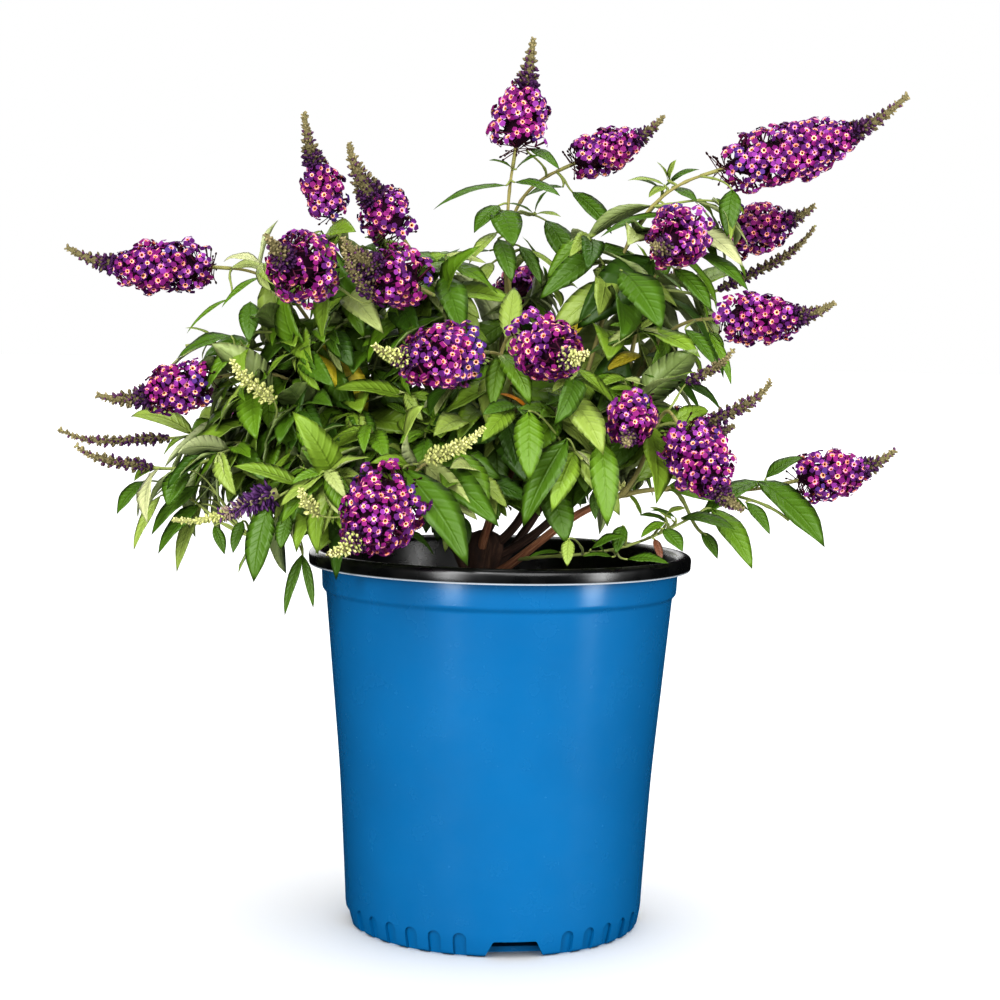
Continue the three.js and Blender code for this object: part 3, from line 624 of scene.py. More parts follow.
# %% Sizes of the plant
GAP = 0.3
TRUNK_FOOT = (-14.0, -8.0)
TRUNK_TOP = (-9.0, -5.0)
TRUNK_HIGH = 237.0
TRUNK_RADIUS = 10.5
FLARE_RADIUS = 19.0
BOUGH_RISE = 22.0
BOUGH_FOOT = 4.3
BOUGH_TIP = 3.1
STEM_RADIUS = 1.7
STEM_TIP_RADIUS = 0.95
STEM_APART = 1.7
STALK_LONG = 10.0
RUN_ON = 3.0
SPIKE_CURL = 26.0
STEEPEST = 84
SPIKE_SAG = 0.15
INTERNODE = 27.0
FIRST_NODE = 9.0
LEAF_LONG = 65.0
SIDE_LONG = 62.0
SIDE_CHANCE = 0.16
SPACE_SLACK = 12.0
TRIES = 8

# name: (azimuth, reach, height, height at which it leaves the trunk)
BOUGHS = {
    "left": (182, 60, 276, 214),
    "left_front": (222, 52, 250, 205),
    "front": (262, 26, 262, 222),
    "right_front": (325, 78, 260, 206),
    "right": (2, 56, 276, 217),
    "crown_right": (345, 36, 296, 225),
    "top": (70, 18, 296, 235),
    "crown_left": (160, 36, 298, 227),
    "back_left": (136, 52, 262, 206),
    "back": (92, 42, 268, 221),
    "back_right": (50, 56, 266, 206),
}


def shoot(foot, aim, long=0, wide=0, bloom="", fork=0.0):
    return {"foot": np.array(foot, float), "aim": aim, "long": long, "wide": wide,
            "bloom": bloom, "fork": fork}


# Each mass: the bough that carries it, the side of the plant it is on, and its shoots.
MASSES = {
    "left_high": ("left", "left", [
        shoot((-175, 10, 391), (194, 6), 88, 32, "left_top"),
        shoot((-150, -24, 352), (200, -4), fork=0.45),
        shoot((-186, -12, 344), (190, -6), fork=0.3),
    ]),
    "left_mid": ("left", "left", [
        shoot((-170, -20, 325), (198, -9), 70, 31, "left_mid"),
        shoot((-203, 22, 287), (189, 4), 67, 8, fork=0.5),
        shoot((-204, -34, 272), (193, 16), 46, 9, fork=0.35),
        shoot((-178, -8, 258), (186, -28), fork=0.3),
    ]),
    "left_low": ("left_front", "left", [
        shoot((-126, -80, 262), (191, -15), 60, 22, "left_low"),
        shoot((-140, -46, 236), (196, -32), fork=0.3),
    ]),
    "front_left": ("left_front", "front", [
        shoot((-52, -112, 272), (237, -27), 78, 44, "front_left_low"),
        shoot((-42, -118, 284), (329, 28), 42, 10, fork=0.55),
    ]),
    "front": ("front", "front", [
        shoot((-16, -80, 343), (226, 2), 78, 37, "front_mid"),
        shoot((44, -84, 286), (292, -24), fork=0.2),
    ]),
    "front_right": ("front", "front", [
        shoot((12, -66, 352), (296, -6), 74, 37, "front_right_mid"),
        shoot((-34, -82, 300), (248, -20), fork=0.25),
    ]),
    "right_front": ("right_front", "right", [
        shoot((101, -70, 303), (302, -36), 72, 37, "right_low_front"),
        shoot((74, -66, 318), (262, -28), 50, 28, "right_low_inner", 0.5),
        shoot((117, -56, 305), (343, 35), 44, 10, fork=0.62),
    ]),
    "right_low": ("right_front", "right", [
        shoot((176, 0, 270), (350, 19), 62, 31, "right_low"),
        shoot((118, -34, 240), (340, -20), fork=0.35),
        shoot((168, -22, 250), (340, -35), fork=0.6),
    ]),
    "right_mid": ("right", "right", [
        shoot((125, -30, 366), (334, 8), 70, 30, "right_mid"),
    ]),
    "right_high": ("right", "right", [
        shoot((134, 44, 420), (347, 17), 57, 33, "right_high"),
        shoot((133, 62, 385), (351, 35), 72, 9, fork=0.62),
    ]),
    "crown_right": ("crown_right", "right", [
        shoot((123, -10, 453), (349, 22), 118, 37, "right_top"),
        shoot((106, -30, 419), (244, -14), 58, 36, "right_inner", 0.4),
        shoot((94, 12, 440), (20, 50), fork=0.62),
    ]),
    "top_back": ("top", "back", [
        shoot((39, 50, 460), (350, 28), 64, 28, "top_right"),
    ]),
    "top": ("top", "front", [
        shoot((4, 8, 463), (355, 82), 68, 35, "top"),
    ]),
    "crown_left": ("crown_left", "front", [
        shoot((-63, 4, 412), (216, 54), 64, 35, "crown_left"),
        shoot((-50, -42, 380), (220, 25), 60, 38, "crown_left_front", 0.45),
    ]),
    "left_crown": ("crown_left", "left", [
        shoot((-108, 50, 424), (232, 67), 68, 27, "left_spire"),
        shoot((-108, -46, 386), (246, 18), 62, 42, "left_front_high", 0.4),
    ]),
    "back_left": ("back_left", "back", [
        shoot((-76, 112, 352), (124, 26), 78, 32, "back_left_high"),
        shoot((-128, 92, 300), (150, 6), 74, 31, "back_left_mid", 0.4),
        shoot((-74, 128, 262), (118, -16), 66, 33, "back_left_low", 0.25),
    ]),
    "back": ("back", "back", [
        shoot((4, 78, 374), (76, 30), 70, 31, "back_top"),
        shoot((-16, 140, 314), (98, 4), 76, 34, "back_mid", 0.4),
    ]),
    "back_right": ("back_right", "back", [
        shoot((80, 112, 370), (56, 28), 78, 32, "back_right_high"),
        shoot((104, 96, 298), (44, 0), 70, 32, "back_right_mid", 0.4),
    ]),
    "back_right_low": ("back_right", "back", [
        shoot((70, 132, 262), (66, -6), 50, 10),
    ]),
}
SIDES = ("left", "front", "right", "back")
print("masses:", len(MASSES), "shoots:", sum(len(m[2]) for m in MASSES.values()))


# %% Curves of the limbs and shoots
def curl_at(elevation):
    """How far a spike curls upwards: less, the steeper it stands."""
    return min(SPIKE_CURL, STEEPEST - elevation)


def foot_heading(s):
    azimuth, elevation = s["aim"]
    return heading(azimuth, elevation - curl_at(elevation) * SPIKE_SAG)


def spike_curve(s):
    azimuth, elevation = s["aim"]
    tip = s["foot"] + heading(azimuth, elevation) * s["long"]
    return Arc(s["foot"], foot_heading(s), tip, heading(azimuth, elevation + curl_at(elevation)))


def shoot_end(s):
    """A shoot stops at its spike's stalk, or runs on a little into a young spike or tip."""
    back = STALK_LONG + GAP if s["bloom"] else -RUN_ON
    return s["foot"] - foot_heading(s) * back


def trunk_middle(height):
    up = (height - SOIL_TOP) / (TRUNK_HIGH - SOIL_TOP)
    return np.array([*(mix(low, high, up) for low, high in zip(TRUNK_FOOT, TRUNK_TOP)), height])


def bough_curve(name):
    azimuth, reach, height, leaves = BOUGHS[name]
    goals = [shoots[0]["foot"] for bough, _, shoots in MASSES.values() if bough == name]
    tip = heading(azimuth, 0) * reach + UP * height
    onward = unit(np.mean(goals, axis=0) - tip)
    return Arc(trunk_middle(leaves), heading(azimuth, BOUGH_RISE), tip, onward)


bough_curves = {name: bough_curve(name) for name in BOUGHS}


def beside_tip(mass):
    """Where a mass's stem starts on its bough's tip, beside the mass that shares it."""
    bough = MASSES[mass][0]
    tip, axis = bough_curves[bough].at(1), bough_curves[bough].axis(1)
    side = square(axis)[0]

    def across(other):
        s = MASSES[other][2][0]
        return Arc(tip, axis, shoot_end(s), foot_heading(s)).at(0.4) @ side

    sharing = sorted((m for m in MASSES if MASSES[m][0] == bough), key=across)
    return side * STEM_APART * (2 * sharing.index(mass) - len(sharing) + 1)


def shoot_curves(mass):
    bough, _, (first, *rest) = MASSES[mass]
    tip, axis = bough_curves[bough].at(1), bough_curves[bough].axis(1)
    start = tip + axis * GAP + beside_tip(mass)
    main = Arc(start, axis, shoot_end(first), foot_heading(first))
    curves = [(main, first)]
    for s in rest:
        root, end = main.at(s["fork"]), shoot_end(s)
        away = unit(unit(end - root) + main.axis(s["fork"]))
        curves.append((Arc(root, away, end, foot_heading(s)), s))
    return curves


curves_of = {mass: shoot_curves(mass) for mass in MASSES}
total = sum(curve.length() for curves in curves_of.values() for curve, _ in curves)
print("shoots run to", round(total), "mm in all")

# %% [markdown]
# ## Trunk and boughs
#
# Old butterfly bush wood is red-brown, with bark that splits along the grain and peels in thin
# strips. Each limb is first modelled straight, by extruding a circle upwards ring by ring, and
# then laid along its curve. The relief comes last: every vertex moves out or in by a little sum
# of waves that run along the limb, so the ridges follow the grain.

# %% Straight limbs laid along curves
LIMB_SIDES = 20
LIMB_RINGS = 24
BARK_RELIEF = 0.09
UV_TALL = 100.0


def straight_limb(sides, rings):
    """A tube of radius 1 and height 1, with its rings evenly spaced."""
    start_clean()
    bpy.ops.mesh.primitive_circle_add(vertices=sides, radius=1, fill_type="NGON", location=(0, 0, 0))
    bpy.ops.object.mode_set(mode="EDIT")
    for _ in range(rings):
        bpy.ops.mesh.extrude_region_move(TRANSFORM_OT_translate={"value": (0, 0, 1 / rings)})
    bpy.ops.mesh.select_all(action="SELECT")
    bpy.ops.mesh.normals_make_consistent(inside=False)
    close_edit()
    return bpy.context.object


def frames_along(curve, ts):
    """Axis, side and rise at each place, carried along without twisting."""
    side = square(curve.axis(ts[0]))[0]
    frames = []
    for t in ts:
        axis = curve.axis(t)
        side = unit(side - axis * (side @ axis))
        frames.append((curve.at(t), axis, side, np.cross(axis, side)))
    return frames


def bark_wave(angle, along, seed):
    """Height of the bark at an angle round the limb and a length along it in mm, from -1 to 1."""
    ridges = np.sin(5 * angle + 0.05 * along + seed) + 0.7 * np.sin(9 * angle - 0.09 * along + 2 * seed)
    breaks = np.sin(0.33 * along + 3 * angle + seed) * np.sin(2 * angle + seed)
    return (ridges + 0.8 * breaks) / 2.5


def lay_limb(limb, curve, radius_at, seed, relief=BARK_RELIEF):
    """Bends a straight limb along its curve, with bark relief and a UV of 100 mm of length."""
    mesh = limb.data
    points = np.array([v.co for v in mesh.vertices])
    length = curve.length()
    out = np.zeros_like(points)
    heights = np.round(points[:, 2], 5)
    levels = sorted(set(heights))
    for t, (place, axis, side, rise) in zip(levels, frames_along(curve, levels)):
        for i in np.nonzero(heights == t)[0]:
            angle = math.atan2(points[i, 1], points[i, 0])
            radius = radius_at(t, angle) * (1 + relief * bark_wave(angle, t * length, seed))
            out[i] = place + radius * around(side, rise, angle)
    mesh.vertices.foreach_set("co", (out * MM).ravel())
    uv = mesh.uv_layers[0] if mesh.uv_layers else mesh.uv_layers.new()
    uv.name = "limb"
    for polygon in mesh.polygons:
        places = points[list(polygon.vertices)]
        angles = [math.atan2(y, x) for x, y, _ in places]
        wraps = max(angles) - min(angles) > math.pi
        for k, angle, height in zip(polygon.loop_indices, angles, places[:, 2]):
            round_share = (angle + (2 * math.pi if wraps and angle < 0 else 0)) / (2 * math.pi)
            uv.data[k].uv = (round_share, height * length / UV_TALL)
    mesh.update()
    return limb


print("limb helpers ready")

# %% Bark
def peeling_bark(name, crack, brown, peel):
    """Fibrous bark that peels along the grain: 16 fibres round a limb, each about 20 mm long."""
    material, tree, shader = new_material(name, brown, 0.85)
    uv = add_node(tree, "ShaderNodeUVMap", uv_map="limb").outputs["UV"]
    long_grain = add_node(tree, "ShaderNodeMapping", {"Scale": (16.0, 5.0, 1.0)}, {"Vector": uv})
    fibre = add_node(tree, "ShaderNodeTexNoise", {"Scale": 1.0, "Detail": 8.0, "Roughness": 0.65},
                     {"Vector": long_grain.outputs["Vector"]})
    colour = add_node(tree, "ShaderNodeValToRGB", links={"Fac": fibre.outputs["Fac"]})
    set_ramp(colour, (0.3, crack), (0.52, brown), (0.72, peel))
    bump = add_node(tree, "ShaderNodeBump", {"Strength": 0.7, "Distance": 0.0008},
                    {"Height": fibre.outputs["Fac"]})
    tree.links.new(colour.outputs["Color"], shader.inputs["Base Color"])
    tree.links.new(bump.outputs["Normal"], shader.inputs["Normal"])
    return material


# A darkened bark is painted shade for wood in the plant's dark middle; a lighter one is painted light.
bark_painted_dark = peeling_bark("butterfly bush bark, old, darkened as painted shade", "#1e120c", "#3f281b", "#6e5240")
bark_painted_light = peeling_bark("butterfly bush bark, peeling, lightened as painted light", "#5a3625", "#9c694a", "#cba27f")
BOUGHS_PAINTED_LIGHT = ("front", "right_front")
print("barks:", bark_painted_dark.name, "and", bark_painted_light.name)

# %% Trunk
TRUNK_SUNK = 1.5
TRUNK_SIDES = 40
TRUNK_RINGS = 26
FLARE_SHARE = 0.3
ROOT_RELIEF = 0.22
KNOT_RELIEF = 0.12
DOME_FROM = 0.8
DOME_TIP = 0.35

trunk_curve = Arc(trunk_middle(SOIL_TOP - TRUNK_SUNK), UP, trunk_middle(TRUNK_HIGH), UP)


def trunk_radius(t, angle):
    """The flare with five root ridges at the foot, knots above it and a rounded top."""
    flare = max(0.0, 1 - t / FLARE_SHARE) ** 2
    roots = 1 + ROOT_RELIEF * flare * math.cos(5 * angle + 0.6)
    dome = math.sqrt(max(0.0, 1 - max(0.0, (t - DOME_FROM) / (1 - DOME_FROM)) ** 2))
    knots = 1 + KNOT_RELIEF * math.sin(3 * angle + 9 * t) * min(1.0, 3 * t)
    return mix(TRUNK_RADIUS, FLARE_RADIUS, flare) * roots * knots * mix(DOME_TIP, 1, dome)


trunk = lay_limb(straight_limb(TRUNK_SIDES, TRUNK_RINGS), trunk_curve, trunk_radius, seed=1.0)
bpy.ops.object.shade_smooth()
finish_piece(trunk, "trunk_bark", ["trunk"], [bark_painted_dark])

# %% Boughs
BOUGH_SLIM = 0.66

for number, (name, curve) in enumerate(bough_curves.items()):
    limb = straight_limb(LIMB_SIDES, LIMB_RINGS)
    lay_limb(limb, curve, lambda t, _: mix(BOUGH_FOOT, BOUGH_TIP, t) * BOUGH_SLIM, seed=float(number))
    bpy.ops.object.shade_smooth()
    bark = bark_painted_light if name in BOUGHS_PAINTED_LIGHT else bark_painted_dark
    finish_piece(limb, f"bough_{name}_bark", [f"bough_{name}"], [bark])

# %% [markdown]
# ## Many copies as one mesh
#
# A plant has thousands of leaves and florets. One object for each would be slow, so each pattern
# is modelled once and its copies are written as arrays into one mesh. A pattern keeps, for each
# face, the part of the leaf or floret that it belongs to, and each copy chooses a colour for each
# part. The colours are plain base colours, dealt out copy by copy.

# %% Patterns and joined copies
FLORET_PARTS = ("eye", "throat", "ring", "lobe", "shaded lobe edge", "tube")
part_markers = [bpy.data.materials.new(f"part {part}") for part in FLORET_PARTS]


def mark_parts(piece, part_of):
    """Gives each face of a pattern the number of its part, by the face's middle in mm."""
    for marker in part_markers:
        piece.data.materials.append(marker)
    for polygon in piece.data.polygons:
        polygon.material_index = part_of(polygon.center / MM)


class Pattern:
    """The vertices, faces and parts of one finished small mesh, read once, in units of its size."""

    def __init__(self, piece, size=1.0):
        mesh = piece.data
        self.points = np.array([v.co for v in mesh.vertices]) / MM / size
        self.sizes = np.array([len(p.vertices) for p in mesh.polygons])
        self.corners = np.concatenate([list(p.vertices) for p in mesh.polygons])
        self.parts = np.array([p.material_index for p in mesh.polygons])
        self.uv = np.zeros((len(self.corners), 2))
        if mesh.uv_layers:
            for i, item in enumerate(mesh.uv_layers[0].data):
                self.uv[i] = item.uv
        bpy.data.objects.remove(piece)


def mesh_from_copies(name, pattern, points, choices, uv_name="", smooth=True):
    """One mesh from copies: points is (copies, vertices, 3) in mm, choices (copies, parts)."""
    copies, per_copy = points.shape[:2]
    mesh = bpy.data.meshes.new(name)
    mesh.vertices.add(copies * per_copy)
    mesh.vertices.foreach_set("co", (points * MM).astype(np.float32).ravel())
    shift = np.arange(copies)[:, None] * per_copy
    corners = (pattern.corners[None, :] + shift).ravel()
    sizes = np.tile(pattern.sizes, copies)
    mesh.loops.add(len(corners))
    mesh.loops.foreach_set("vertex_index", corners.astype(np.int32))
    mesh.polygons.add(len(sizes))
    mesh.polygons.foreach_set("loop_start", (np.cumsum(sizes) - sizes).astype(np.int32))
    mesh.polygons.foreach_set("material_index", choices[:, pattern.parts].astype(np.int32).ravel())
    mesh.polygons.foreach_set("use_smooth", np.full(len(sizes), smooth))
    if uv_name:
        layer = mesh.uv_layers.new(name=uv_name)
        layer.data.foreach_set("uv", np.tile(pattern.uv, (copies, 1)).astype(np.float32).ravel())
    mesh.update(calc_edges=True)
    piece = bpy.data.objects.new(name, mesh)
    bpy.context.scene.collection.objects.link(piece)
    return piece


def rigid_copies(pattern, origins, x_axes, y_axes, z_axes, scales):
    """Each copy of the pattern turned to its own axes, scaled along each and moved to its origin."""
    axes = np.stack([x_axes, y_axes, z_axes], axis=1) * scales[:, :, None]
    return np.einsum("pk,nkd->npd", pattern.points, axes) + origins[:, None, :]


print("copies helpers ready")

# %% [markdown]
# ## Leaves
#
# A butterfly bush leaf is lance-shaped, widest a little below its middle, and drawn out to a
# fine point. Its upper face is green with a sunken midrib and sunken side veins; the underside
# is pale with felt. The pattern starts as a flat grid. Each cross row is scaled to the leaf's
# width there, the middle column is pressed down for the midrib, and a coarser copy a fraction
# of a millimetre below, with its faces turned over, closes it as the pale underside.

# %% Leaf pattern
LEAF_ROWS = 8
LEAF_WIDTH = 0.39
LEAF_WIDEST = 0.37
LEAF_SHOULDER = 0.85
LEAF_TAPER = 2.1
LEAF_POINT = 1.1
LEAF_STALK = 0.012
LEAF_SUNK = 0.9
LEAF_THICK = 0.45
LEAF_WELD = 0.12
LEAF_WAVES = 11
LEAF_TOP, LEAF_UNDER = 0, 1


def leaf_half_width(s):
    """Half of the leaf's width at a share of its length, as a share of its length."""
    if s < LEAF_WIDEST:
        return mix(LEAF_STALK, LEAF_WIDTH / 2, math.sin(math.pi / 2 * s / LEAF_WIDEST) ** LEAF_SHOULDER)
    beyond = (s - LEAF_WIDEST) / (1 - LEAF_WIDEST)
    return LEAF_WIDTH / 2 * max(0.002, 1 - beyond ** LEAF_TAPER) ** LEAF_POINT


def leaf_sheet(columns, sunk):
    """A grid as long as a leaf, with each row scaled to the outline and its middle pressed down."""
    start_clean()
    bpy.ops.mesh.primitive_grid_add(x_subdivisions=columns, y_subdivisions=LEAF_ROWS, calc_uvs=True,
                                    size=LEAF_LONG * MM, location=(0, LEAF_LONG / 2 * MM, 0))
    sheet = bpy.context.object
    bpy.ops.object.transform_apply()
    for row in range(LEAF_ROWS + 1):
        share = row / LEAF_ROWS
        height = share * LEAF_LONG
        width = 2 * leaf_half_width(share)
        select_vertices(sheet, lambda place: abs(place.y - height) < 0.01)
        bpy.ops.transform.resize(value=(width, 1, 1), center_override=(0, height * MM, 0))
        select_vertices(sheet, lambda place: abs(place.y - height) < 0.01 and abs(place.x) < 0.001)
        bpy.ops.transform.translate(value=(0, 0, -sunk * width / LEAF_WIDTH * MM))
    close_edit()
    return sheet


def leaf_pattern():
    under = leaf_sheet(2, LEAF_SUNK + LEAF_THICK)
    edit_all()
    bpy.ops.mesh.flip_normals()
    close_edit()
    top = leaf_sheet(4, LEAF_SUNK)
    mark_parts(top, lambda middle: LEAF_TOP)
    mark_parts(under, lambda middle: LEAF_UNDER)
    select_only(top, under)
    bpy.ops.object.join()
    edit_all()
    bpy.ops.mesh.remove_doubles(threshold=LEAF_WELD * MM)
    close_edit()
    return Pattern(bpy.context.object, LEAF_LONG)


leaf = leaf_pattern()
print("leaf pattern:", len(leaf.sizes), "faces,", len(leaf.points), "vertices")


# %% Bending the leaves
def bent_leaves(rows):
    """Every leaf arched, folded, twisted and waved along its own axes, as one array of points."""
    column = {key: np.array([row[key] for row in rows], float) for key in rows[0] if key != "tints"}
    x, s, z = leaf.points.T
    arch = column["arch"][:, None]
    angle = arch * (0.5 - s[None, :])
    chord = np.sinc(arch / 2 / math.pi)
    forward = (np.sin(arch / 2) - np.sin(angle)) / arch / chord
    rise = (np.cos(angle) - np.cos(arch / 2)) / arch / chord
    fold = column["fold"][:, None]
    spread = x[None, :] * column["wide"][:, None]
    lift = z[None, :] + np.abs(spread) * np.sin(fold)
    waves = np.sin(LEAF_WAVES * s[None, :] + column["phase"][:, None] + 2 * (x > 0))
    lift = lift + column["wave"][:, None] * np.abs(spread) * waves
    across = spread * np.cos(fold)
    twist = column["twist"][:, None] * s[None, :]
    turn_cos, turn_sin = np.cos(twist), np.sin(twist)
    across, lift = across * turn_cos - lift * turn_sin, across * turn_sin + lift * turn_cos
    along, up = column["along"][:, None, :], column["up"][:, None, :]
    side = np.cross(column["up"], column["along"])[:, None, :]
    up_part = rise + lift * np.cos(angle)
    along_part = forward - lift * np.sin(angle)
    points = along_part[..., None] * along + up_part[..., None] * up + across[..., None] * side
    return column["root"][:, None, :] + points * column["long"][:, None, None]


print("a leaf's chord is its stated length")

# %% [markdown]
# ### Growing the leaves
#
# Each shoot gets a pair of leaves every 27 mm. Where the rule calls for a side twig, the twig
# rises from the axil and carries pairs of its own. The scene goes one step finer than the
# construction model: most axils also hold a tuft of small young leaves, and each twig ends in a
# pair of small leaves. A leaf that would run into a flower spike, the pot or another mass's space
# is turned, made a little shorter and tried again.

# %% Room for a leaf
# The places where the sky shows through the plant: centre and radius.
OPEN_SPOTS = [
    ((74, -22, 444), 22), ((66, 34, 440), 18), ((-160, 2, 366), 24), ((-208, 5, 302), 18),
    ((98, -22, 258), 20), ((58, -5, 256), 22), ((62, 48, 253), 22), ((66, 100, 246), 18),
    ((78, 10, 246), 14), ((-128, -50, 222), 14), ((112, -14, 322), 14), ((-204, -10, 356), 20),
    ((-156, -28, 370), 20), ((-123, -48, 214), 15),
]
open_centres = np.array([centre for centre, _ in OPEN_SPOTS])
open_radii = np.array([radius for _, radius in OPEN_SPOTS])
ROOM_STEPS = 12
MOUTH_CLEAR = 23.0
RIM_CLEAR = 3.0
BARE_SIDE = 90.0
SPIKE_CLEAR = 1.5
# Three places on a leaf: the share of its length, and its rise there as a share of its length.
LEAF_CHECKS = ((0.45, 0.06), (0.75, 0.02), (1, 0))
room_places = np.arange(ROOM_STEPS + 1) / ROOM_STEPS
spines = {mass: np.array([curve.at(t) for curve, _ in curves for t in room_places])
          for mass, curves in curves_of.items()}

blooms = [s for _, _, shoots in MASSES.values() for s in shoots if s["long"]]
bloom_lines = np.array([[spike_curve(s).at(t) for t in (0.1, 0.3, 0.5, 0.7)] for s in blooms])
bloom_radii = np.array([s["wide"] / 2 for s in blooms])


def has_room(root, along, up, long, mass):
    spots = [root + along * long * share + up * long * rise for share, rise in LEAF_CHECKS]
    for spot in spots:
        in_mouth = math.hypot(spot[0], spot[1]) < RIM_RADIUS + RIM_CLEAR
        if spot[2] < POT_HEIGHT + MOUTH_CLEAR and (in_mouth or spot[0] > BARE_SIDE):
            return False
        if (np.linalg.norm(open_centres - spot, axis=1) < open_radii).any():
            return False
        gaps = np.linalg.norm(bloom_lines - spot, axis=2).min(axis=1) - bloom_radii
        if gaps.min() < SPIKE_CLEAR:
            return False
    for spot in (spots[0], spots[2]):
        own = np.linalg.norm(spines[mass] - spot, axis=1).min()
        for other, points in spines.items():
            if other != mass and np.linalg.norm(points - spot, axis=1).min() < own - SPACE_SLACK:
                return False
    return True


print("spikes to keep clear of:", len(blooms))


# %% One leaf by the rule
# Leaves turn their faces outwards, and a little to the front, where the light comes from.
LIGHT_LEAN = np.array([0, 45.0, 0])
LEAF_TURN = (-0.3, 0.3)
LEAF_SPREAD = (50, 74)
LEAF_DROOP = (0.45, 1.35)
LEAF_ROLL = (-0.45, 0.45)
LEAF_STRETCH = (0.86, 1.1)
LEAF_FACING = (0.7, 0.65)
LEAF_INSET = 0.5
LEAF_SHORTER = 0.06
WIDE_BY_CHANCE = (0.82, 1.25)
WIDE_BY_AGE = (0.8, 1.08)
# Arch, fold and twist are angles, wave is a share of the width and phase says where it starts.
LEAF_BENDS = {"arch": (0.45, 1.5), "fold": (0.02, 0.34), "wave": (0.02, 0.2), "phase": (0, 6),
              "twist": (-0.55, 0.55)}


def leaf_at(spot, axis, angle, long, keys):
    side, rise = square(axis)
    turn = angle + pick(LEAF_TURN, *keys, 1)
    spread = math.radians(pick(LEAF_SPREAD, *keys, 2))
    along = around(side, rise, turn) * math.sin(spread)
    along = unit(along + axis * math.cos(spread) - UP * pick(LEAF_DROOP, *keys, 3))
    outward = unit((spot - LIGHT_LEAN) * np.array([1, 1, 0]))
    up = UP * LEAF_FACING[0] + outward * LEAF_FACING[1] + side * pick(LEAF_ROLL, *keys, 4)
    up = unit(up - along * (up @ along))
    return spot - along * LEAF_INSET, along, up, long * pick(LEAF_STRETCH, *keys, 5)


leaves = {side: [] for side in SIDES}


def add_leaf(mass, spot, axis, angle, long, keys, age):
    """Adds one leaf where it has room. Its age is 0 at a shoot's tip and 1 deep in the plant."""
    for attempt in range(TRIES):
        tried = [*keys, 10 + attempt]
        root, along, up, full = leaf_at(spot, axis, angle, long * (1 - attempt * LEAF_SHORTER), tried)
        if has_room(root, along, up, full, mass):
            bends = {name: pick(limits, *tried, 21 + i)
                     for i, (name, limits) in enumerate(LEAF_BENDS.items())}
            leaves[MASSES[mass][1]].append({
                "root": root, "along": along, "up": up, "long": full, **bends,
                "wide": pick(WIDE_BY_CHANCE, *tried, 20) * mix(*WIDE_BY_AGE, age),
                "tints": (age, chance(*tried, 26), chance(*tried, 27)),
            })
            return


print("leaf rule ready")

# %% Stems
DENSITY = {"top": 0.35, "top_back": 0.6, "crown_right": 0.75, "left_low": 2.0, "left_mid": 1.5,
           "right_low": 0.5, "right_high": 0.7, "right_mid": 0.8}
BARE_FROM = {"top": 0.5, "top_back": 0.5, "crown_right": 0.86, "right_low": 0.45}
BARE_BOUGHS = ("right_front",)
BARE_SHOOTS = {("right_low", 1): 0.0, ("right_low", 2): 0.0, ("crown_right", 2): 0.3}
NODE_SHARP = 12
NODE_SWELL = 0.35
STEM_STEP = 3.0
GREEN_UNDER = 1.5
THIN_STEM = (0.8, 0.55)
THIN_FOLLOW = 0.5
THIN_RISE = 0.2
stems = {side: [] for side in SIDES}


def add_stem(mass, curve, foot, tip):
    """A tapering stem that swells a little at each leaf pair: tan if it is thick, else green."""
    length = curve.length()

    def radius_at(t):
        node = max(0.0, math.cos(2 * math.pi * (t * length - FIRST_NODE) / INTERNODE)) ** NODE_SHARP
        return mix(foot, tip, t) * (1 + NODE_SWELL * node)

    steps = max(5, round(length / STEM_STEP))
    stems[MASSES[mass][1]].append((curve, radius_at, steps, int(foot < GREEN_UNDER)))


# A low twig runs out over the rim at the right, and the small leaves there hang on it.
LOW_TWIG = Arc(bough_curves["right_front"].at(0.3), heading(300, 10), np.array([114.0, -42.0, 252.0]),
               heading(30, 25), pull=0.6)
LOW_TWIG_MASS = "right_low"
LOW_TWIG_RADII = (1.2, 0.8)


def reach_stem(mass, foot, onward):
    """A thin stem from the nearest place on the mass's own shoots out to a foot."""
    curves = [curve for curve, _ in curves_of[mass]] + [LOW_TWIG] * (mass == LOW_TWIG_MASS)
    spots = [(curve.at(t), curve.axis(t)) for curve in curves for t in np.linspace(0, 1, 25)]
    place, axis = min(spots, key=lambda spot: np.linalg.norm(spot[0] - foot))
    straight = unit(foot - place)
    away = unit(axis * THIN_FOLLOW + straight)
    curve = Arc(place, away, foot, unit(straight + onward + UP * THIN_RISE))
    add_stem(mass, curve, *THIN_STEM)


print("masses thinned or thickened:", len(DENSITY))

# %% Dressing the shoots
TUFT_CHANCE = 0.75
TUFT_MOST = 3
TUFT_LONG = (16, 46)
TUFT_TURN = (-1.1, 1.1)
TUFT_AGE = 0.6
TUFT_CHANCE_BY_AGE = (0.5, 1)
TUFT_SIZE_BY_AGE = (0.55, 1)
FINE_CHANCE = 0.8
TWIG_RADIUS = 1.0
TWIG_TAPER = 0.55
TWIG_FORWARD = 0.75
TWIG_UP = 0.2
TWIG_BEND = (-0.35, 0.3)
TWIG_SHARE = (0.55, 1)
TWIG_BY_PLACE = (1, 0.6)
TWIG_TUFTS = 0.6
TWIG_TUFT_SIZE = 0.8
TIP_LEAF = 26
TIP_TURN = 0.4
TIP_AGE = 0.3
LEAF_BY_PLACE = (1.15, 0.62)
SIDE_STEM = 0.85
# The leaf pairs of a twig: the place along it, and the leaf's length against a full leaf.
TWIG_PAIRS = ((0.3, 0.72), (0.62, 0.8), (0.9, 0.62))
BOUGH_TWIG_PAIRS = ((0.35, 0.7), (0.7, 0.85), (0.95, 0.7))
BOUGH_TWIGS = (0.4, 0.58, 0.76, 0.94)
BOUGH_TWIG_LONG = (26, 58)
BOUGH_TWIG_TURN = 0.7
BOUGH_TWIG_AGE = 0.9
BOUGH_KEYS = 50


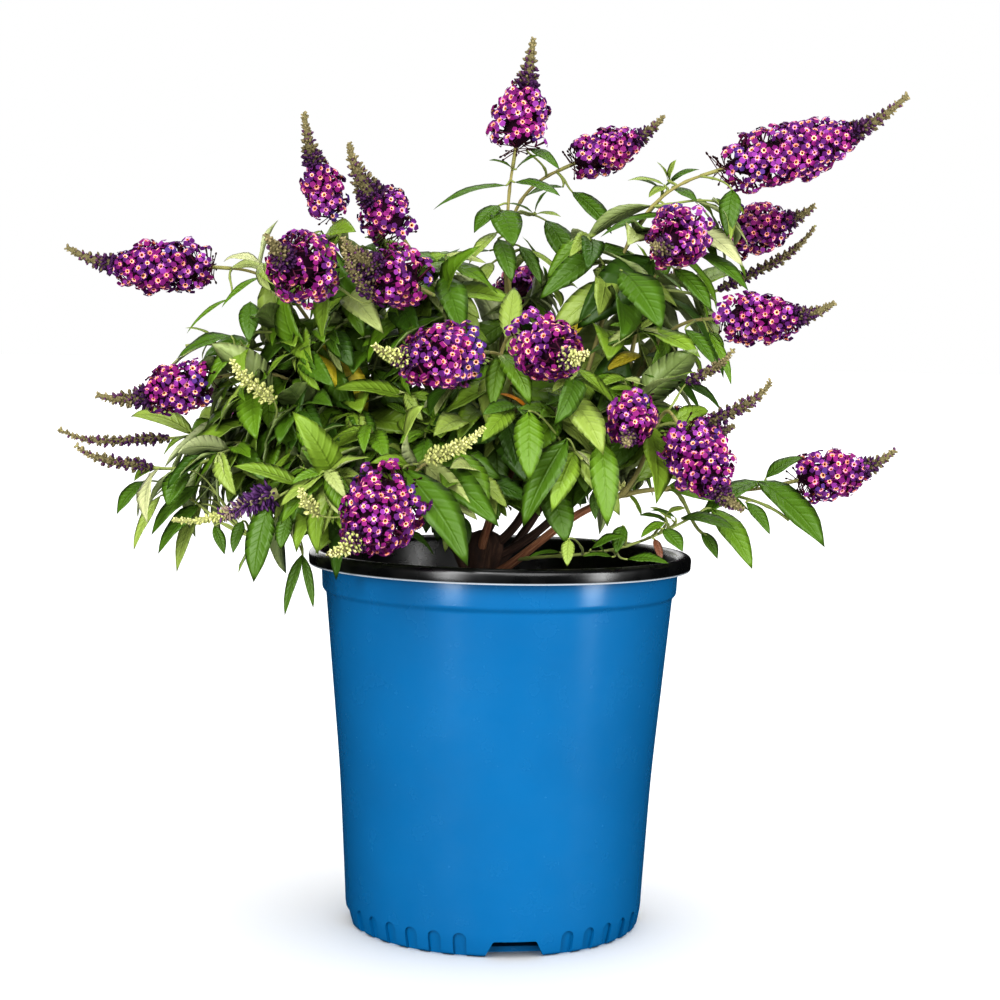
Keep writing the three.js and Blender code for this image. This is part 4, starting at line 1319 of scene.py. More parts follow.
def add_tuft(mass, spot, axis, angle, keys, age, size=1.0):
    """One to three small leaves that stand in the axil of a leaf."""
    for k in range(1 + int(TUFT_MOST * size * chance(*keys, 30))):
        long = pick(TUFT_LONG, *keys, 31, k) * size
        turn = angle + pick(TUFT_TURN, *keys, 32, k)
        add_leaf(mass, spot + axis * (1 + k), axis, turn, long, [*keys, 33, k], age * TUFT_AGE)


def add_twig(mass, spot, axis, angle, long, keys, age, pairs):
    """A side twig with pairs of its own, a pair of small leaves at its tip and a few tufts."""
    side, rise = square(axis)
    out = unit(around(side, rise, angle) + axis * TWIG_FORWARD + UP * TWIG_UP)
    end = spot + out * long
    curve = Arc(spot, out, end, unit(out + UP * pick(TWIG_BEND, *keys, 40)))
    if not has_room(spot, out, UP, long, mass):
        return
    add_stem(mass, curve, TWIG_RADIUS, TWIG_RADIUS * TWIG_TAPER)
    spines[mass] = np.vstack([spines[mass], [curve.at(t) for t in (0.33, 0.66, 1)]])
    for pair, (t, share) in enumerate(pairs):
        place, along = curve.at(t), curve.axis(t)
        for k in range(2):
            turn = math.pi * (k + pair / 2)
            here = [*keys, 8, pair, k]
            add_leaf(mass, place, along, turn, LEAF_LONG * share, here, age)
            if chance(*here, 41) < TUFT_CHANCE * TWIG_TUFTS:
                add_tuft(mass, place, along, turn, here, age, TWIG_TUFT_SIZE)
    for k in range(2):
        turn = math.pi * k + TIP_TURN
        add_leaf(mass, end, curve.axis(1), turn, TIP_LEAF, [*keys, 42, k], age * TIP_AGE)


def dress_axil(mass, spot, axis, angle, t, keys, twigs_fit):
    """One leaf of a pair, and a twig or a tuft in its axil, at a share t of the shoot."""
    age = 1 - t
    density = DENSITY.get(mass, 1)
    add_leaf(mass, spot, axis, angle, LEAF_LONG * mix(*LEAF_BY_PLACE, t), keys, age)
    if twigs_fit and chance(*keys, 6) < (SIDE_CHANCE + FINE_CHANCE * age) * density:
        long = SIDE_LONG * mix(*TWIG_BY_PLACE, t) * pick(TWIG_SHARE, *keys, 7)
        add_twig(mass, spot, axis, angle, long, keys, age, TWIG_PAIRS)
    elif chance(*keys, 43) < TUFT_CHANCE * mix(*TUFT_CHANCE_BY_AGE, age) * density:
        add_tuft(mass, spot, axis, angle, keys, age, mix(*TUFT_SIZE_BY_AGE, age))


def dress(mass, number):
    """The stems of a mass, with a leaf pair every internode as far as each shoot is leafy."""
    for i, (curve, s) in enumerate(curves_of[mass]):
        length = curve.length()
        foot = STEM_RADIUS if i == 0 else mix(STEM_RADIUS, STEM_TIP_RADIUS, s["fork"]) * SIDE_STEM
        add_stem(mass, curve, foot, STEM_TIP_RADIUS)
        leafy = length * BARE_SHOOTS.get((mass, i), BARE_FROM.get(mass, 1))
        for node, place in enumerate(np.arange(FIRST_NODE, min(length - 2, leafy), INTERNODE)):
            t = place / length
            for k in range(2):
                dress_axil(mass, curve.at(t), curve.axis(t), math.pi * (k + node / 2), t,
                           [number, i, node, k], place < length - INTERNODE)


def dress_bough(bough, number):
    """Short leafy twigs from the wood, which hide the fork of the boughs."""
    mass = next(m for m in MASSES if MASSES[m][0] == bough)
    curve = bough_curves[bough]
    for node, t in enumerate(BOUGH_TWIGS):
        for k in range(2):
            keys = [BOUGH_KEYS + number, node, k]
            turn = math.pi * (k + node / 2) + BOUGH_TWIG_TURN
            long = pick(BOUGH_TWIG_LONG, *keys, 7)
            add_twig(mass, curve.at(t), curve.axis(t), turn, long, keys, BOUGH_TWIG_AGE,
                     BOUGH_TWIG_PAIRS)


print("dressing rule ready")

# %% [markdown]
# ### Leaves placed one by one
#
# The rule fills the plant, but the outline of this plant turns on about a hundred single leaves: the
# fringe that hangs on the left, the rosettes near the top, the small leaves over the rim. They are
# listed one by one, and each hangs on a thin stem from the nearest shoot of its mass.

# %% Hanging leaves
# A row is the foot, the direction, the length, the width against a common leaf's, and sometimes
# the look. A look is the age and the two chances that choose a leaf's tints.
FRESH, LIGHT, GREYED, FELTED = (0.9, 0.35, 0.5), (0.9, 0.6, 0.5), (0.35, 0.75, 0.5), (0.1, 0.9, 0.5)
DEEP, ORANGE, WITHERED = (0.9, 0.05, 0.5), (0.9, 0.3, 0.0), (0.9, 0.3, -1)
HANGING_LEAVES = {
    "front_left": [
        ((-54, -118, 279), (347, -54), 64, 1.0),
        ((-26, -84, 288), (319, -56), 43, 1.1, LIGHT),
        ((-41, -22, 263), (251, -72), 28, 1.20, DEEP),
        ((-36, -14, 260), (259, -78), 30, 1.07, DEEP),
        ((-31, 0, 253), (210, -58), 22, 0.99, WITHERED),
        ((-84, -90, 238), (23, -21), 28, 0.81, DEEP),
        ((-55, -66, 241), (30, -38), 25, 0.84, DEEP),
        ((-29, -34, 245), (243, -70), 20, 0.85, GREYED),
        ((-37, -30, 240), (319, -46), 18, 0.86, WITHERED),
        ((-23, -30, 247), (303, -67), 19, 1.08, DEEP),
    ],
    "left_low": [
        ((-113, -62, 226), (210, -73), 37, 0.48),
        ((-113, -62, 225), (320, -73), 31, 0.46),
        ((-212, -20, 263), (205, -51), 25, 1.25),
        ((-201, -24, 255), (203, -64), 36, 0.6, GREYED),
        ((-184, -44, 272), (239, -54), 26, 1.6),
        ((-177, -34, 262), (201, -46), 40, 0.9),
        ((-177, -30, 251), (202, -50), 38, 0.9),
        ((-178, -16, 252), (205, -71), 45, 0.6, GREYED),
        ((-131, -84, 254), (231, -76), 43, 1.0),
        ((-167, -40, 239), (326, -63), 18, 1.0),
        ((-148, -60, 244), (238, -65), 20, 1.0),
        ((-119, -90, 250), (243, -68), 20, 1.3),
    ],
    "left_mid": [
        ((-161, -22, 350), (195, -24), 34, 1.11),
        ((-156, -18, 347), (214, -54), 37, 0.78, LIGHT),
    ],
    "left_high": [
        ((-172, -14, 349), (201, 16), 18, 0.69, GREYED),
        ((-164, -6, 372), (207, -39), 34, 0.32, LIGHT),
        ((-146, -8, 385), (214, -37), 31, 0.5, LIGHT),
        ((-150, -20, 370), (275, -60), 28, 1.17),
    ],
    "right_low": [
        ((153, -8, 270), (339, -42), 56, 1.1),
        ((153, -8, 270), (212, -27), 48, 0.9),
        ((123, -34, 255), (325, -50), 44, 0.95, LIGHT),
        ((105, -44, 250), (338, -10), 33, 0.9),
        ((145, -20, 258), (329, -49), 24, 1.0),
        ((97, -50, 247), (204, 14), 20, 1.1),
        ((99, -50, 249), (180, 28), 15, 1.1, GREYED),
        ((158, -6, 272), (16, 28), 27, 1.0),
        ((118, -34, 241), (318, -52), 19, 1.1),
        ((51, -84, 234), (335, 23), 22, 1.2),
        ((71, -96, 230), (340, -3), 24, 1.0),
        ((38, -90, 240), (266, -60), 17, 1.2, GREYED),
        ((92, -80, 246), (319, -41), 18, 1.5),
        ((69, -76, 247), (246, -58), 18, 1.3),
        ((87, -78, 240), (298, -58), 15, 0.85, WITHERED),
        ((93, -70, 249), (210, -28), 18, 1.11, LIGHT),
        ((95, -64, 254), (347, 16), 11, 1.3, GREYED),
        ((100, -62, 251), (195, 16), 16, 0.89),
        ((63, -84, 230), (200, 1), 18, 0.90),
        ((59, -80, 231), (206, 43), 13, 1.03),
        ((34, -62, 230), (205, -8), 20, 0.74),
    ],
    "right_mid": [
        ((105, -34, 359), (320, -44), 30, 0.89),
        ((119, -30, 358), (323, -62), 35, 0.5, LIGHT),
        ((122, -26, 358), (304, -52), 16, 0.87, LIGHT),
    ],
    "front": [
        ((5, -22, 290), (268, -78), 26, 1.0, WITHERED),
        ((0, -20, 276), (230, -70), 22, 0.9, WITHERED),
        ((14, -62, 312), (196, 24), 20, 0.9, ORANGE),
        ((36, -84, 296), (214, -60), 57, 0.93),
        ((14, -92, 311), (274, -67), 41, 1.08, LIGHT),
        ((26, -70, 269), (308, -61), 37, 1.3),
        ((-5, -52, 294), (290, -74), 38, 0.99),
        ((7, -40, 286), (242, -71), 21, 0.97, WITHERED),
    ],
    "right_front": [
        ((45, -74, 289), (287, -71), 25, 1.3, LIGHT),
        ((57, -64, 278), (206, -50), 29, 1.2),
        ((55, -80, 296), (285, -71), 51, 0.84, LIGHT),
        ((52, -66, 265), (295, -74), 16, 0.96),
    ],
    "top": [
        ((-1, 4, 443), (193, -20), 47, 0.5),
        ((4, 4, 445), (336, -16), 31, 0.85),
        ((-4, 2, 428), (289, -42), 34, 1.45),
        ((-5, 4, 431), (222, -42), 26, 1.3),
        ((-6, 4, 415), (221, -43), 29, 0.79, GREYED),
        ((-5, 4, 411), (296, -53), 33, 1.01),
        ((-8, 2, 397), (228, -52), 26, 1.07, GREYED),
        ((3, 6, 453), (208, 14), 17, 1.15),
        ((5, 6, 453), (328, 26), 17, 1.25),
        ((-10, 2, 404), (202, -19), 29, 0.7),
    ],
    "top_back": [
        ((40, 46, 443), (330, -43), 38, 1.0),
        ((24, 42, 425), (323, -56), 42, 1.1),
        ((34, 46, 446), (203, -16), 26, 0.8),
        ((12, 14, 466), (337, -32), 24, 1.0),
        ((15, 34, 406), (217, -45), 23, 0.93, GREYED),
        ((16, 26, 428), (206, 16), 19, 0.8),
        ((17, 26, 429), (321, 53), 16, 0.85),
        ((18, 26, 428), (338, -7), 16, 0.75, GREYED),
        ((8, 20, 408), (314, -51), 31, 0.75),
        ((11, 20, 406), (342, -34), 32, 0.42, GREYED),
    ],
    "crown_right": [
        ((93, 0, 445), (195, 4), 23, 0.85, GREYED),
        ((95, 0, 448), (212, 50), 13, 1.4, GREYED),
        ((96, 0, 448), (307, 63), 13, 1.4, GREYED),
        ((97, 0, 448), (13, 21), 19, 0.7),
        ((94, 0, 444), (217, -29), 15, 1.4, GREYED),
        ((98, 0, 443), (332, -28), 19, 1.2),
        ((96, -4, 427), (196, -19), 45, 0.6),
        ((105, -20, 420), (337, -34), 43, 1.05, FELTED),
        ((112, -20, 404), (334, -34), 39, 0.8),
        ((131, -24, 441), (252, -70), 30, 1.12),
        ((98, -30, 394), (327, -44), 35, 1.0),
        ((67, -40, 392), (315, -47), 46, 1.4),
        ((91, 4, 443), (198, 13), 20, 0.9),
        ((93, 4, 443), (343, 29), 23, 0.7),
    ],
}
HANGING_BENDS = {"arch": 0.75, "fold": 0.14, "wave": 0.08, "twist": 0.15}
CRUMPLE = 1.3
FACING_UP = np.array([0, -0.5, 1.0])


def hang_leaf(mass, foot, direction, long, wide, look=FRESH):
    along = heading(*direction)
    up = unit(FACING_UP - along * (along @ FACING_UP))
    crumple = CRUMPLE if look is WITHERED else 1.0
    leaves[MASSES[mass][1]].append({
        "root": np.array(foot, float), "along": along, "up": up, "long": long, "wide": wide,
        "phase": 0.3 * long, "tints": look,
        **{name: bend * crumple for name, bend in HANGING_BENDS.items()},
    })


print("leaves placed by hand:", sum(map(len, HANGING_LEAVES.values())))

# %% Grow the stems and leaves
# A few young spikes stand among the leaves: mass, foot, aim, length and width.
YOUNG_SPIKES = [
    ("left_mid", (-131, -60, 313), (194, 44), 34, 11),
    ("left_crown", (-76, -62, 372), (221, 55), 35, 9),
    ("front_left", (-100, -118, 253), (213, 52), 18, 10),
    ("right_front", (105, -50, 328), (347, 37), 33, 8),
]

add_stem(LOW_TWIG_MASS, LOW_TWIG, *LOW_TWIG_RADII)
for mass, rows in HANGING_LEAVES.items():
    for row in rows:
        hang_leaf(mass, *row)
    for foot, direction in {row[0]: row[1] for row in rows}.items():
        reach_stem(mass, np.array(foot, float), heading(*direction))
for mass, foot, aim, *_ in YOUNG_SPIKES:
    reach_stem(mass, np.array(foot, float), heading(*aim))
for number, mass in enumerate(MASSES):
    dress(mass, number)
for number, bough in enumerate(BOUGHS):
    if bough not in BARE_BOUGHS:
        dress_bough(bough, number)
print("leaves:", {side: len(rows) for side, rows in leaves.items()})

# %% [markdown]
# ### Leaf colours
#
# The green comes in a few plain tints. Old leaves inside the plant are deep green, leaves near
# the tips are lighter and greyer, because the felt of a young leaf hasn't rubbed off yet. About
# one leaf in seventy is turning yellow. The veins are a relief: a herringbone pattern drawn in the
# leaf's own UV, where one side vein stands every eighth of the length.

# %% Leaf materials
TOP_TINTS = ("#33520a", "#44640e", "#587814", "#6e8828", "#829443", "#96a163", "#a9ad80",
             "#c8b830", "#ec9a1c", "#6e4630")
UNDER_TINTS = ("#70804a", "#86935e", "#a0a87c")
GREENS = 7
YELLOWING, TURNED, DEAD = 7, 8, 9
TURNED_SHARE = 0.001
YELLOWING_SHARE = 0.014
VEINS = 9.0
VEIN_SLANT = 3.0


def leaf_material(name, tint, raised=False):
    """Leaf blade: a thin waxy skin that swells between sunken veins, or raised veins underneath."""
    material, tree, shader = new_material(name, tint, 0.48, IOR=1.45)
    uv = add_node(tree, "ShaderNodeUVMap", uv_map="leaf").outputs["UV"]
    part = add_node(tree, "ShaderNodeSeparateXYZ", links={"Vector": uv})
    across = add_node(tree, "ShaderNodeMath", {1: 0.5}, {0: part.outputs["X"]}, operation="SUBTRACT")
    away = add_node(tree, "ShaderNodeMath", links={0: across.outputs[0]}, operation="ABSOLUTE")
    slant = add_node(tree, "ShaderNodeMath", {1: -VEIN_SLANT}, {0: away.outputs[0]},
                     operation="MULTIPLY")
    along = add_node(tree, "ShaderNodeMath", {1: VEINS}, {0: part.outputs["Y"]}, operation="MULTIPLY")
    row = add_node(tree, "ShaderNodeMath", links={0: along.outputs[0], 1: slant.outputs[0]},
                   operation="ADD")
    saw = add_node(tree, "ShaderNodeMath", {1: 0.5}, {0: row.outputs[0]}, operation="PINGPONG")
    vein = add_node(tree, "ShaderNodeMapRange", {"From Max": 0.3}, {"Value": saw.outputs[0]},
                    interpolation_type="SMOOTHSTEP")
    rib = add_node(tree, "ShaderNodeMapRange", {"From Max": 0.06}, {"Value": away.outputs[0]},
                   interpolation_type="SMOOTHSTEP")
    swell = add_node(tree, "ShaderNodeMath", {1: 0.55}, {0: vein.outputs[0]}, operation="MULTIPLY")
    relief = add_node(tree, "ShaderNodeMath", links={0: swell.outputs[0], 1: rib.outputs[0]},
                      operation="ADD")
    fade = add_node(tree, "ShaderNodeMapRange", {"From Min": 0.95, "From Max": 0.55},
                    {"Value": part.outputs["Y"]})
    height = add_node(tree, "ShaderNodeMath", links={0: relief.outputs[0], 1: fade.outputs[0]},
                      operation="MULTIPLY")
    bump = add_node(tree, "ShaderNodeBump", {"Strength": 0.6, "Distance": 0.0007},
                    {"Height": height.outputs[0]}, invert=raised)
    tree.links.new(bump.outputs["Normal"], shader.inputs["Normal"])
    return material


leaf_tops = [leaf_material(f"leaf top {i}", tint) for i, tint in enumerate(TOP_TINTS)]
leaf_unders = [leaf_material(f"leaf underside {i}", tint, raised=True)
               for i, tint in enumerate(UNDER_TINTS)]
leaf_materials = leaf_tops + leaf_unders


def leaf_tints(age, first, second):
    """Which top and which underside a leaf gets, from its age and two chances."""
    if second < 0:
        return DEAD, DEAD
    young = 1 - age
    if second < TURNED_SHARE:
        top = TURNED
    elif second < YELLOWING_SHARE:
        top = YELLOWING
    else:
        top = min(GREENS - 1, int(GREENS * (0.45 * young * young + 0.55 * first)))
    return top, len(TOP_TINTS) + min(2, int(3 * mix(first, young, 0.5)))


print("leaf materials:", len(leaf_materials))

# %% Leaf pieces
foliage_nodes = {side: [f"foliage_{mass}" for mass in MASSES if MASSES[mass][1] == side]
                 for side in SIDES}
for side, rows in leaves.items():
    choices = np.array([leaf_tints(*row["tints"]) for row in rows])
    piece = mesh_from_copies(f"leaves_{side}", leaf, bent_leaves(rows), choices, "leaf")
    finish_piece(piece, f"leaves_{side}", foliage_nodes[side], leaf_materials)

# %% [markdown]
# ## Shoots
#
# The year's shoots are slightly square, tan near the wood and yellow-green near the flower, with
# a swelling at each leaf pair. They are swept as six-sided tubes along the rule's arcs, and all
# the shoots of one side of the plant are one mesh.

# %% Tubes
def tube_points(curve, radius_at, steps, sides):
    ts = np.linspace(0, 1, steps + 1)
    angles = 2 * np.pi * np.arange(sides) / sides
    rings = []
    for t, (place, _, side, rise) in zip(ts, frames_along(curve, ts)):
        spokes = np.outer(np.cos(angles), side) + np.outer(np.sin(angles), rise)
        rings.append(place + radius_at(t) * spokes)
    return np.concatenate(rings)


def tube_faces(steps, sides, shift):
    faces = []
    for i in range(steps):
        for k in range(sides):
            n = (k + 1) % sides
            low, high = shift + i * sides, shift + (i + 1) * sides
            faces.append((low + k, low + n, high + n, high + k))
    faces.append(tuple(shift + k for k in reversed(range(sides))))
    faces.append(tuple(shift + steps * sides + k for k in range(sides)))
    return faces


def mesh_of_tubes(name, tubes, sides):
    """One mesh of many tubes: (curve, radius at a share of the length, steps, material number)."""
    points, faces, colours = [], [], []
    shift = 0
    for curve, radius_at, steps, colour in tubes:
        spots = tube_points(curve, radius_at, steps, sides)
        made = tube_faces(steps, sides, shift)
        points.append(spots)
        faces += made
        colours += [colour] * len(made)
        shift += len(spots)
    mesh = bpy.data.meshes.new(name)
    mesh.from_pydata((np.concatenate(points) * MM).tolist(), [], faces)
    mesh.polygons.foreach_set("material_index", colours)
    mesh.polygons.foreach_set("use_smooth", [True] * len(faces))
    mesh.update()
    piece = bpy.data.objects.new(name, mesh)
    bpy.context.scene.collection.objects.link(piece)
    return piece


def green_shoot(name, tint, roughness):
    """This year's wood: a felted green skin that dries to tan."""
    return felted(name, tint, roughness, 900.0, 3.0, 0.3, 0.0003, Sheen_Weight=0.1)


shoot_materials = [green_shoot("shoot, tan foot", "#87804a", 0.7),
                   green_shoot("shoot, green", "#7f8a46", 0.6)]
SHOOT_SIDES = 6
for side, rows in stems.items():
    piece = mesh_of_tubes(f"shoots_{side}", rows, SHOOT_SIDES)
    finish_piece(piece, f"shoots_{side}", foliage_nodes[side], shoot_materials)

# %% [markdown]
# ## Florets
#
# A single floret is a tube about 10 mm long that opens into four rounded lobes, 8 mm across. The
# lobes are purple, the mouth has a pale peach ring, then an orange throat and a dark eye: a closed
# disc painted near black as the shade in the tube's deep opening. The pattern starts as the eye,
# an eight-sided disc. Three extrusions scaled outwards make the throat, the ring and the foot of
# the lobes; then only every second edge is extruded on, which leaves the gaps between the lobes.

# %% Floret pattern
EYE_RADIUS = 0.6
THROAT_RADIUS = 0.85
RING_RADIUS = 1.6
LOBE_RADIUS = 3.1
FLORET_RADIUS = 4.5
LOBE_SPREAD = 41
EDGE_SPREAD = 28
TUBE_LONG = 9.0
TUBE_FOOT = 0.35
TUBE_MOUTH = 0.9


def select_edges(piece, test):
    """In edit mode, selects only the edges whose middle, in mm, passes a test."""
    mesh = piece.data
    bpy.ops.object.mode_set(mode="EDIT")
    bpy.ops.mesh.select_mode(type="EDGE")
    bpy.ops.mesh.select_all(action="DESELECT")
    close_edit()
    for edge in mesh.edges:
        ends = [mesh.vertices[i] for i in edge.vertices]
        if test((ends[0].co + ends[1].co) / 2 / MM):
            edge.select = True
            ends[0].select = ends[1].select = True
    bpy.ops.object.mode_set(mode="EDIT")


def extrude_ring(scale, rise):
    """Extrudes the selected edges, scales them about the axis and moves them along it by mm."""
    bpy.ops.mesh.extrude_edges_move()
    bpy.ops.transform.resize(value=(scale, scale, 1), center_override=(0, 0, 0))
    bpy.ops.transform.translate(value=(0, 0, rise * MM))


def fan_out(piece, radius, spread, height):
    """Sets the selected row of each lobe on a rounded front, spread to both sides of its middle."""
    close_edit()
    for vertex in piece.data.vertices:
        if vertex.select:
            angle = math.atan2(vertex.co.y, vertex.co.x)
            middle = round(angle / (math.pi / 2)) * math.pi / 2
            side = max(-1, min(1, (angle - middle) / (math.pi / 8)))
            angle = middle + side * math.radians(spread)
            reach = radius * (1 - 0.16 * side * side)
            vertex.co = Vector((math.cos(angle) * reach, math.sin(angle) * reach, height)) * MM
    bpy.ops.object.mode_set(mode="EDIT")


def floret_pattern():
    start_clean()
    bpy.ops.mesh.primitive_circle_add(vertices=8, radius=EYE_RADIUS * MM, fill_type="NGON",
                                      location=(0, 0, -1.0 * MM), rotation=(0, 0, math.pi / 8))
    face = bpy.context.object
    bpy.ops.object.transform_apply()
    for inner, outer, rise in ((EYE_RADIUS, THROAT_RADIUS, 0.65), (THROAT_RADIUS, RING_RADIUS, 0.35)):
        select_edges(face, lambda middle: middle.to_2d().length > inner * 0.9)
        extrude_ring(outer / inner, rise)
    for beyond, outer, spread, height in ((RING_RADIUS * 0.8, LOBE_RADIUS, LOBE_SPREAD, 0.15),
                                          (RING_RADIUS * 1.1, FLORET_RADIUS, EDGE_SPREAD, -1.5)):
        select_edges(face, lambda middle: middle.to_2d().length > beyond
                     and abs(math.sin(2 * math.atan2(middle.y, middle.x))) < 0.3)
        bpy.ops.mesh.extrude_edges_move()
        if outer == FLORET_RADIUS:
            bpy.ops.mesh.subdivide(number_cuts=1)
        fan_out(face, outer, spread, height)
    close_edit()
    limits = (0.3, THROAT_RADIUS * 0.93, RING_RADIUS * 0.93, LOBE_RADIUS * 0.9)
    mark_parts(face, lambda middle: sum(middle.to_2d().length > limit for limit in limits))
    start_clean()
    bpy.ops.mesh.primitive_cone_add(vertices=4, radius1=TUBE_FOOT * MM, radius2=TUBE_MOUTH * MM,
                                    depth=TUBE_LONG * MM, end_fill_type="NOTHING",
                                    location=(0, 0, -(TUBE_LONG / 2 + 0.3) * MM))
    tube = bpy.context.object
    bpy.ops.object.transform_apply()
    mark_parts(tube, lambda middle: FLORET_PARTS.index("tube"))
    select_only(face, tube)
    bpy.ops.object.join()
    return Pattern(bpy.context.object)


floret = floret_pattern()
print("floret pattern:", len(floret.sizes), "faces in parts of", np.bincount(floret.parts))

# %% [markdown]
# A bud and a spent floret are both small clubs. Each starts as a ring of three or four vertices
# that is extruded upwards a few times, scaled at each step, and closed by merging the last ring.

# %% Bud and spent floret patterns
KNOB_FROM = 8.4


def club_pattern(sides, foot, rings, tip):
    """A closed club: rings are (rise, scale against the ring below) and tip is the last rise."""
    start_clean()
    bpy.ops.mesh.primitive_circle_add(vertices=sides, radius=foot * MM, fill_type="NOTHING",
                                      location=(0, 0, 0))
    club = bpy.context.object
    height = 0.0
    for rise, scale in (*rings, (tip, 1)):
        select_edges(club, lambda middle: middle.z > height - 0.01)
        extrude_ring(scale, rise)
        height += rise
    bpy.ops.mesh.merge(type="CENTER")
    bpy.ops.mesh.select_all(action="SELECT")
    bpy.ops.mesh.normals_make_consistent(inside=False)
    close_edit()
    mark_parts(club, lambda middle: int(middle.z > KNOB_FROM))
    return Pattern(club)


bud = club_pattern(4, 0.35, ((0.8, 2.4), (1.1, 0.9)), 0.8)
spent = club_pattern(3, 0.3, ((8.6, 1.1), (0.4, 2.3), (1.0, 0.85)), 0.4)
print("bud:", len(bud.sizes), "faces, spent floret:", len(spent.sizes), "faces")

# %% [markdown]
# ## Flower spikes
#
# The florets of a spike stand shoulder to shoulder on a dark heart and open from the foot
# upwards. So the foot holds bare tubes of spent florets, the middle is in full bloom, then come
# purple buds, and the tail is a rope of tiny grey-green buds in whorls. The florets are laid on
# in a sunflower spiral: each one is turned by the golden angle from the last, and steps on along
# the spike by the length that gives each the same share of the skin.

# %% Spike outlines
BLOSSOM = [(0, 0.12), (0.05, 0.72), (0.17, 1), (0.29, 0.88), (0.42, 0.96), (0.55, 0.74), (0.68, 0.38),
           (0.84, 0.2), (1, 0)]
BUDS = [(0, 0.5), (0.15, 1), (0.35, 0.75), (0.55, 0.85), (0.78, 0.5), (1, 0.25)]
GOLDEN = math.pi * (3 - math.sqrt(5))
FLORET_PITCH = 5.9
OPEN_UNTIL = 0.69
LOOSE_UNTIL = 0.3
LOOSE_SHARE = 0.75
BUD_PITCH = 2.1
TAIL_OVERLAP = 0.03
TAIL_RADIUS = 7.4
TAIL_TIP = 1.8
WHORL = 4.6
WHORL_SWELL = 0.3
SKIN_LEAST = 0.8
HEART_SHARE = 0.55
PURPLE, OLIVE, PALE, BUDDING = range(4)
IN_BUD = ("left_low",)
LATE_SPIKES = {"left_spire": 0.55, "crown_left": 0.46, "crown_left_front": 0.55, "left_front_high": 0.62,
               "top": 0.6, "left_mid": 0.62}
YOUNG_FULL = 1.25
OLIVE_YOUNG = [(117, -56, 305)]
PALE_TAILS = ("front_mid", "front_right_mid", "front_left_low", "left_low")

florets = {side: [] for side in SIDES}
buds = {side: [] for side in SIDES}
spents = {side: [] for side in SIDES}
hearts = {side: [] for side in SIDES}


def outline_at(outline, t):
    places, shares = zip(*outline)
    return float(np.interp(t, places, shares))


def spiral_on(curve, long, radius_at, start, end, pitch):
    """Places on a spike's skin: share of its length, way out, place on its axis, axis, radius."""
    t, number = start, 0
    while t < end:
        radius = max(radius_at(t), SKIN_LEAST)
        place, axis, side, rise = frames_along(curve, [t])[0]
        yield t, around(side, rise, number * GOLDEN), place, axis, radius
        t += pitch * pitch / (2 * math.pi * radius * long)
        number += 1


def facing(out, twist):
    """Three axes for a copy whose Z looks out, turned by a twist about it."""
    side, rise = square(out)
    x = around(side, rise, twist)
    return x, np.cross(out, x), out


def tilted(out, axis, forward, amount, keys):
    """A direction out of the spike, bent along its axis and then by chance to either side."""
    side, rise = square(out)
    limits = (-amount, amount)
    return unit(out + axis * forward + side * pick(limits, *keys, 2) + rise * pick(limits, *keys, 3))


print("spike outlines ready")


# %% Florets, buds and spent florets of a spike
BUD_SIZE = (0.95, 1.4)
BUD_TIP_SIZE = 0.75
BUD_FORWARD = (0.1, 0.9)
BUD_TILT = 0.35
BUD_DEEP = 2.2
FLORETS_FROM = 0.05
FLORET_SIZE = (0.84, 1.08)
FLORET_TIP_SIZE = 0.75
CLOSING = 0.19
FLORET_LIFT = (-3.0, 1.6)
FLORET_FORWARD = (-0.3, 0.65)
FLORET_TILT = 0.6
SPENTS_PER_MM = 0.9
SPENT_LONG = (0.75, 1.5)
SPENT_FORWARD = (-0.6, 0.5)
SPENT_TILT = 0.3
FULL_WIDE = 34
# Each kind of copy draws its chances from keys of its own, counted on from these.
FLORET_KEYS, PURPLE_KEYS, GREEN_KEYS, YOUNG_KEYS, SPENT_KEYS, BUDDING_KEYS = range(100, 700, 100)


def add_buds(side_name, curve, long, radius_at, start, end, number, kind, plump, pitch=BUD_PITCH):
    """Buds laid over a length of spike, in whorls that swell every few millimetres."""
    def whorled(t):
        swell = WHORL_SWELL * math.cos(2 * math.pi * t * long / WHORL)
        return radius_at(t) * (1 - WHORL_SWELL + swell)

    spots = spiral_on(curve, long, whorled, start, end, pitch)
    for k, (t, out, place, axis, radius) in enumerate(spots):
        keys = (number, k)
        share = (t - start) / (end - start)
        size = pick(BUD_SIZE, *keys, 4) * mix(1, BUD_TIP_SIZE, share)
        inset = max(0.0, radius - BUD_DEEP * size * plump)
        buds[side_name].append({
            "place": place + out * inset, "scale": (size, size, size * plump),
            "lean": tilted(out, axis, pick(BUD_FORWARD, *keys, 1), BUD_TILT, keys),
            "twist": 6 * chance(*keys, 5), "tints": (kind, share, chance(*keys, 6)),
        })


def add_florets(side_name, curve, s, skin, open_until, number):
    """Open florets, with gaps low down, and smaller ones just under the purple buds."""
    spots = spiral_on(curve, s["long"], skin, FLORETS_FROM, open_until, FLORET_PITCH)
    for k, (t, out, place, axis, radius) in enumerate(spots):
        keys = (FLORET_KEYS + number, k)
        if chance(*keys, 8) < LOOSE_SHARE * (1 - t / LOOSE_UNTIL):
            continue
        closing = max(0, 1 - (open_until - t) / CLOSING)
        size = pick(FLORET_SIZE, *keys, 5) * mix(1, FLORET_TIP_SIZE, closing)
        reach = radius + pick(FLORET_LIFT, *keys, 4)
        florets[side_name].append({
            "place": place + out * reach, "scale": (size, size, size),
            "lean": tilted(out, axis, pick(FLORET_FORWARD, *keys, 1), FLORET_TILT, keys),
            "twist": math.pi * chance(*keys, 6), "tints": (chance(*keys, 7), chance(*keys, 9), t),
        })


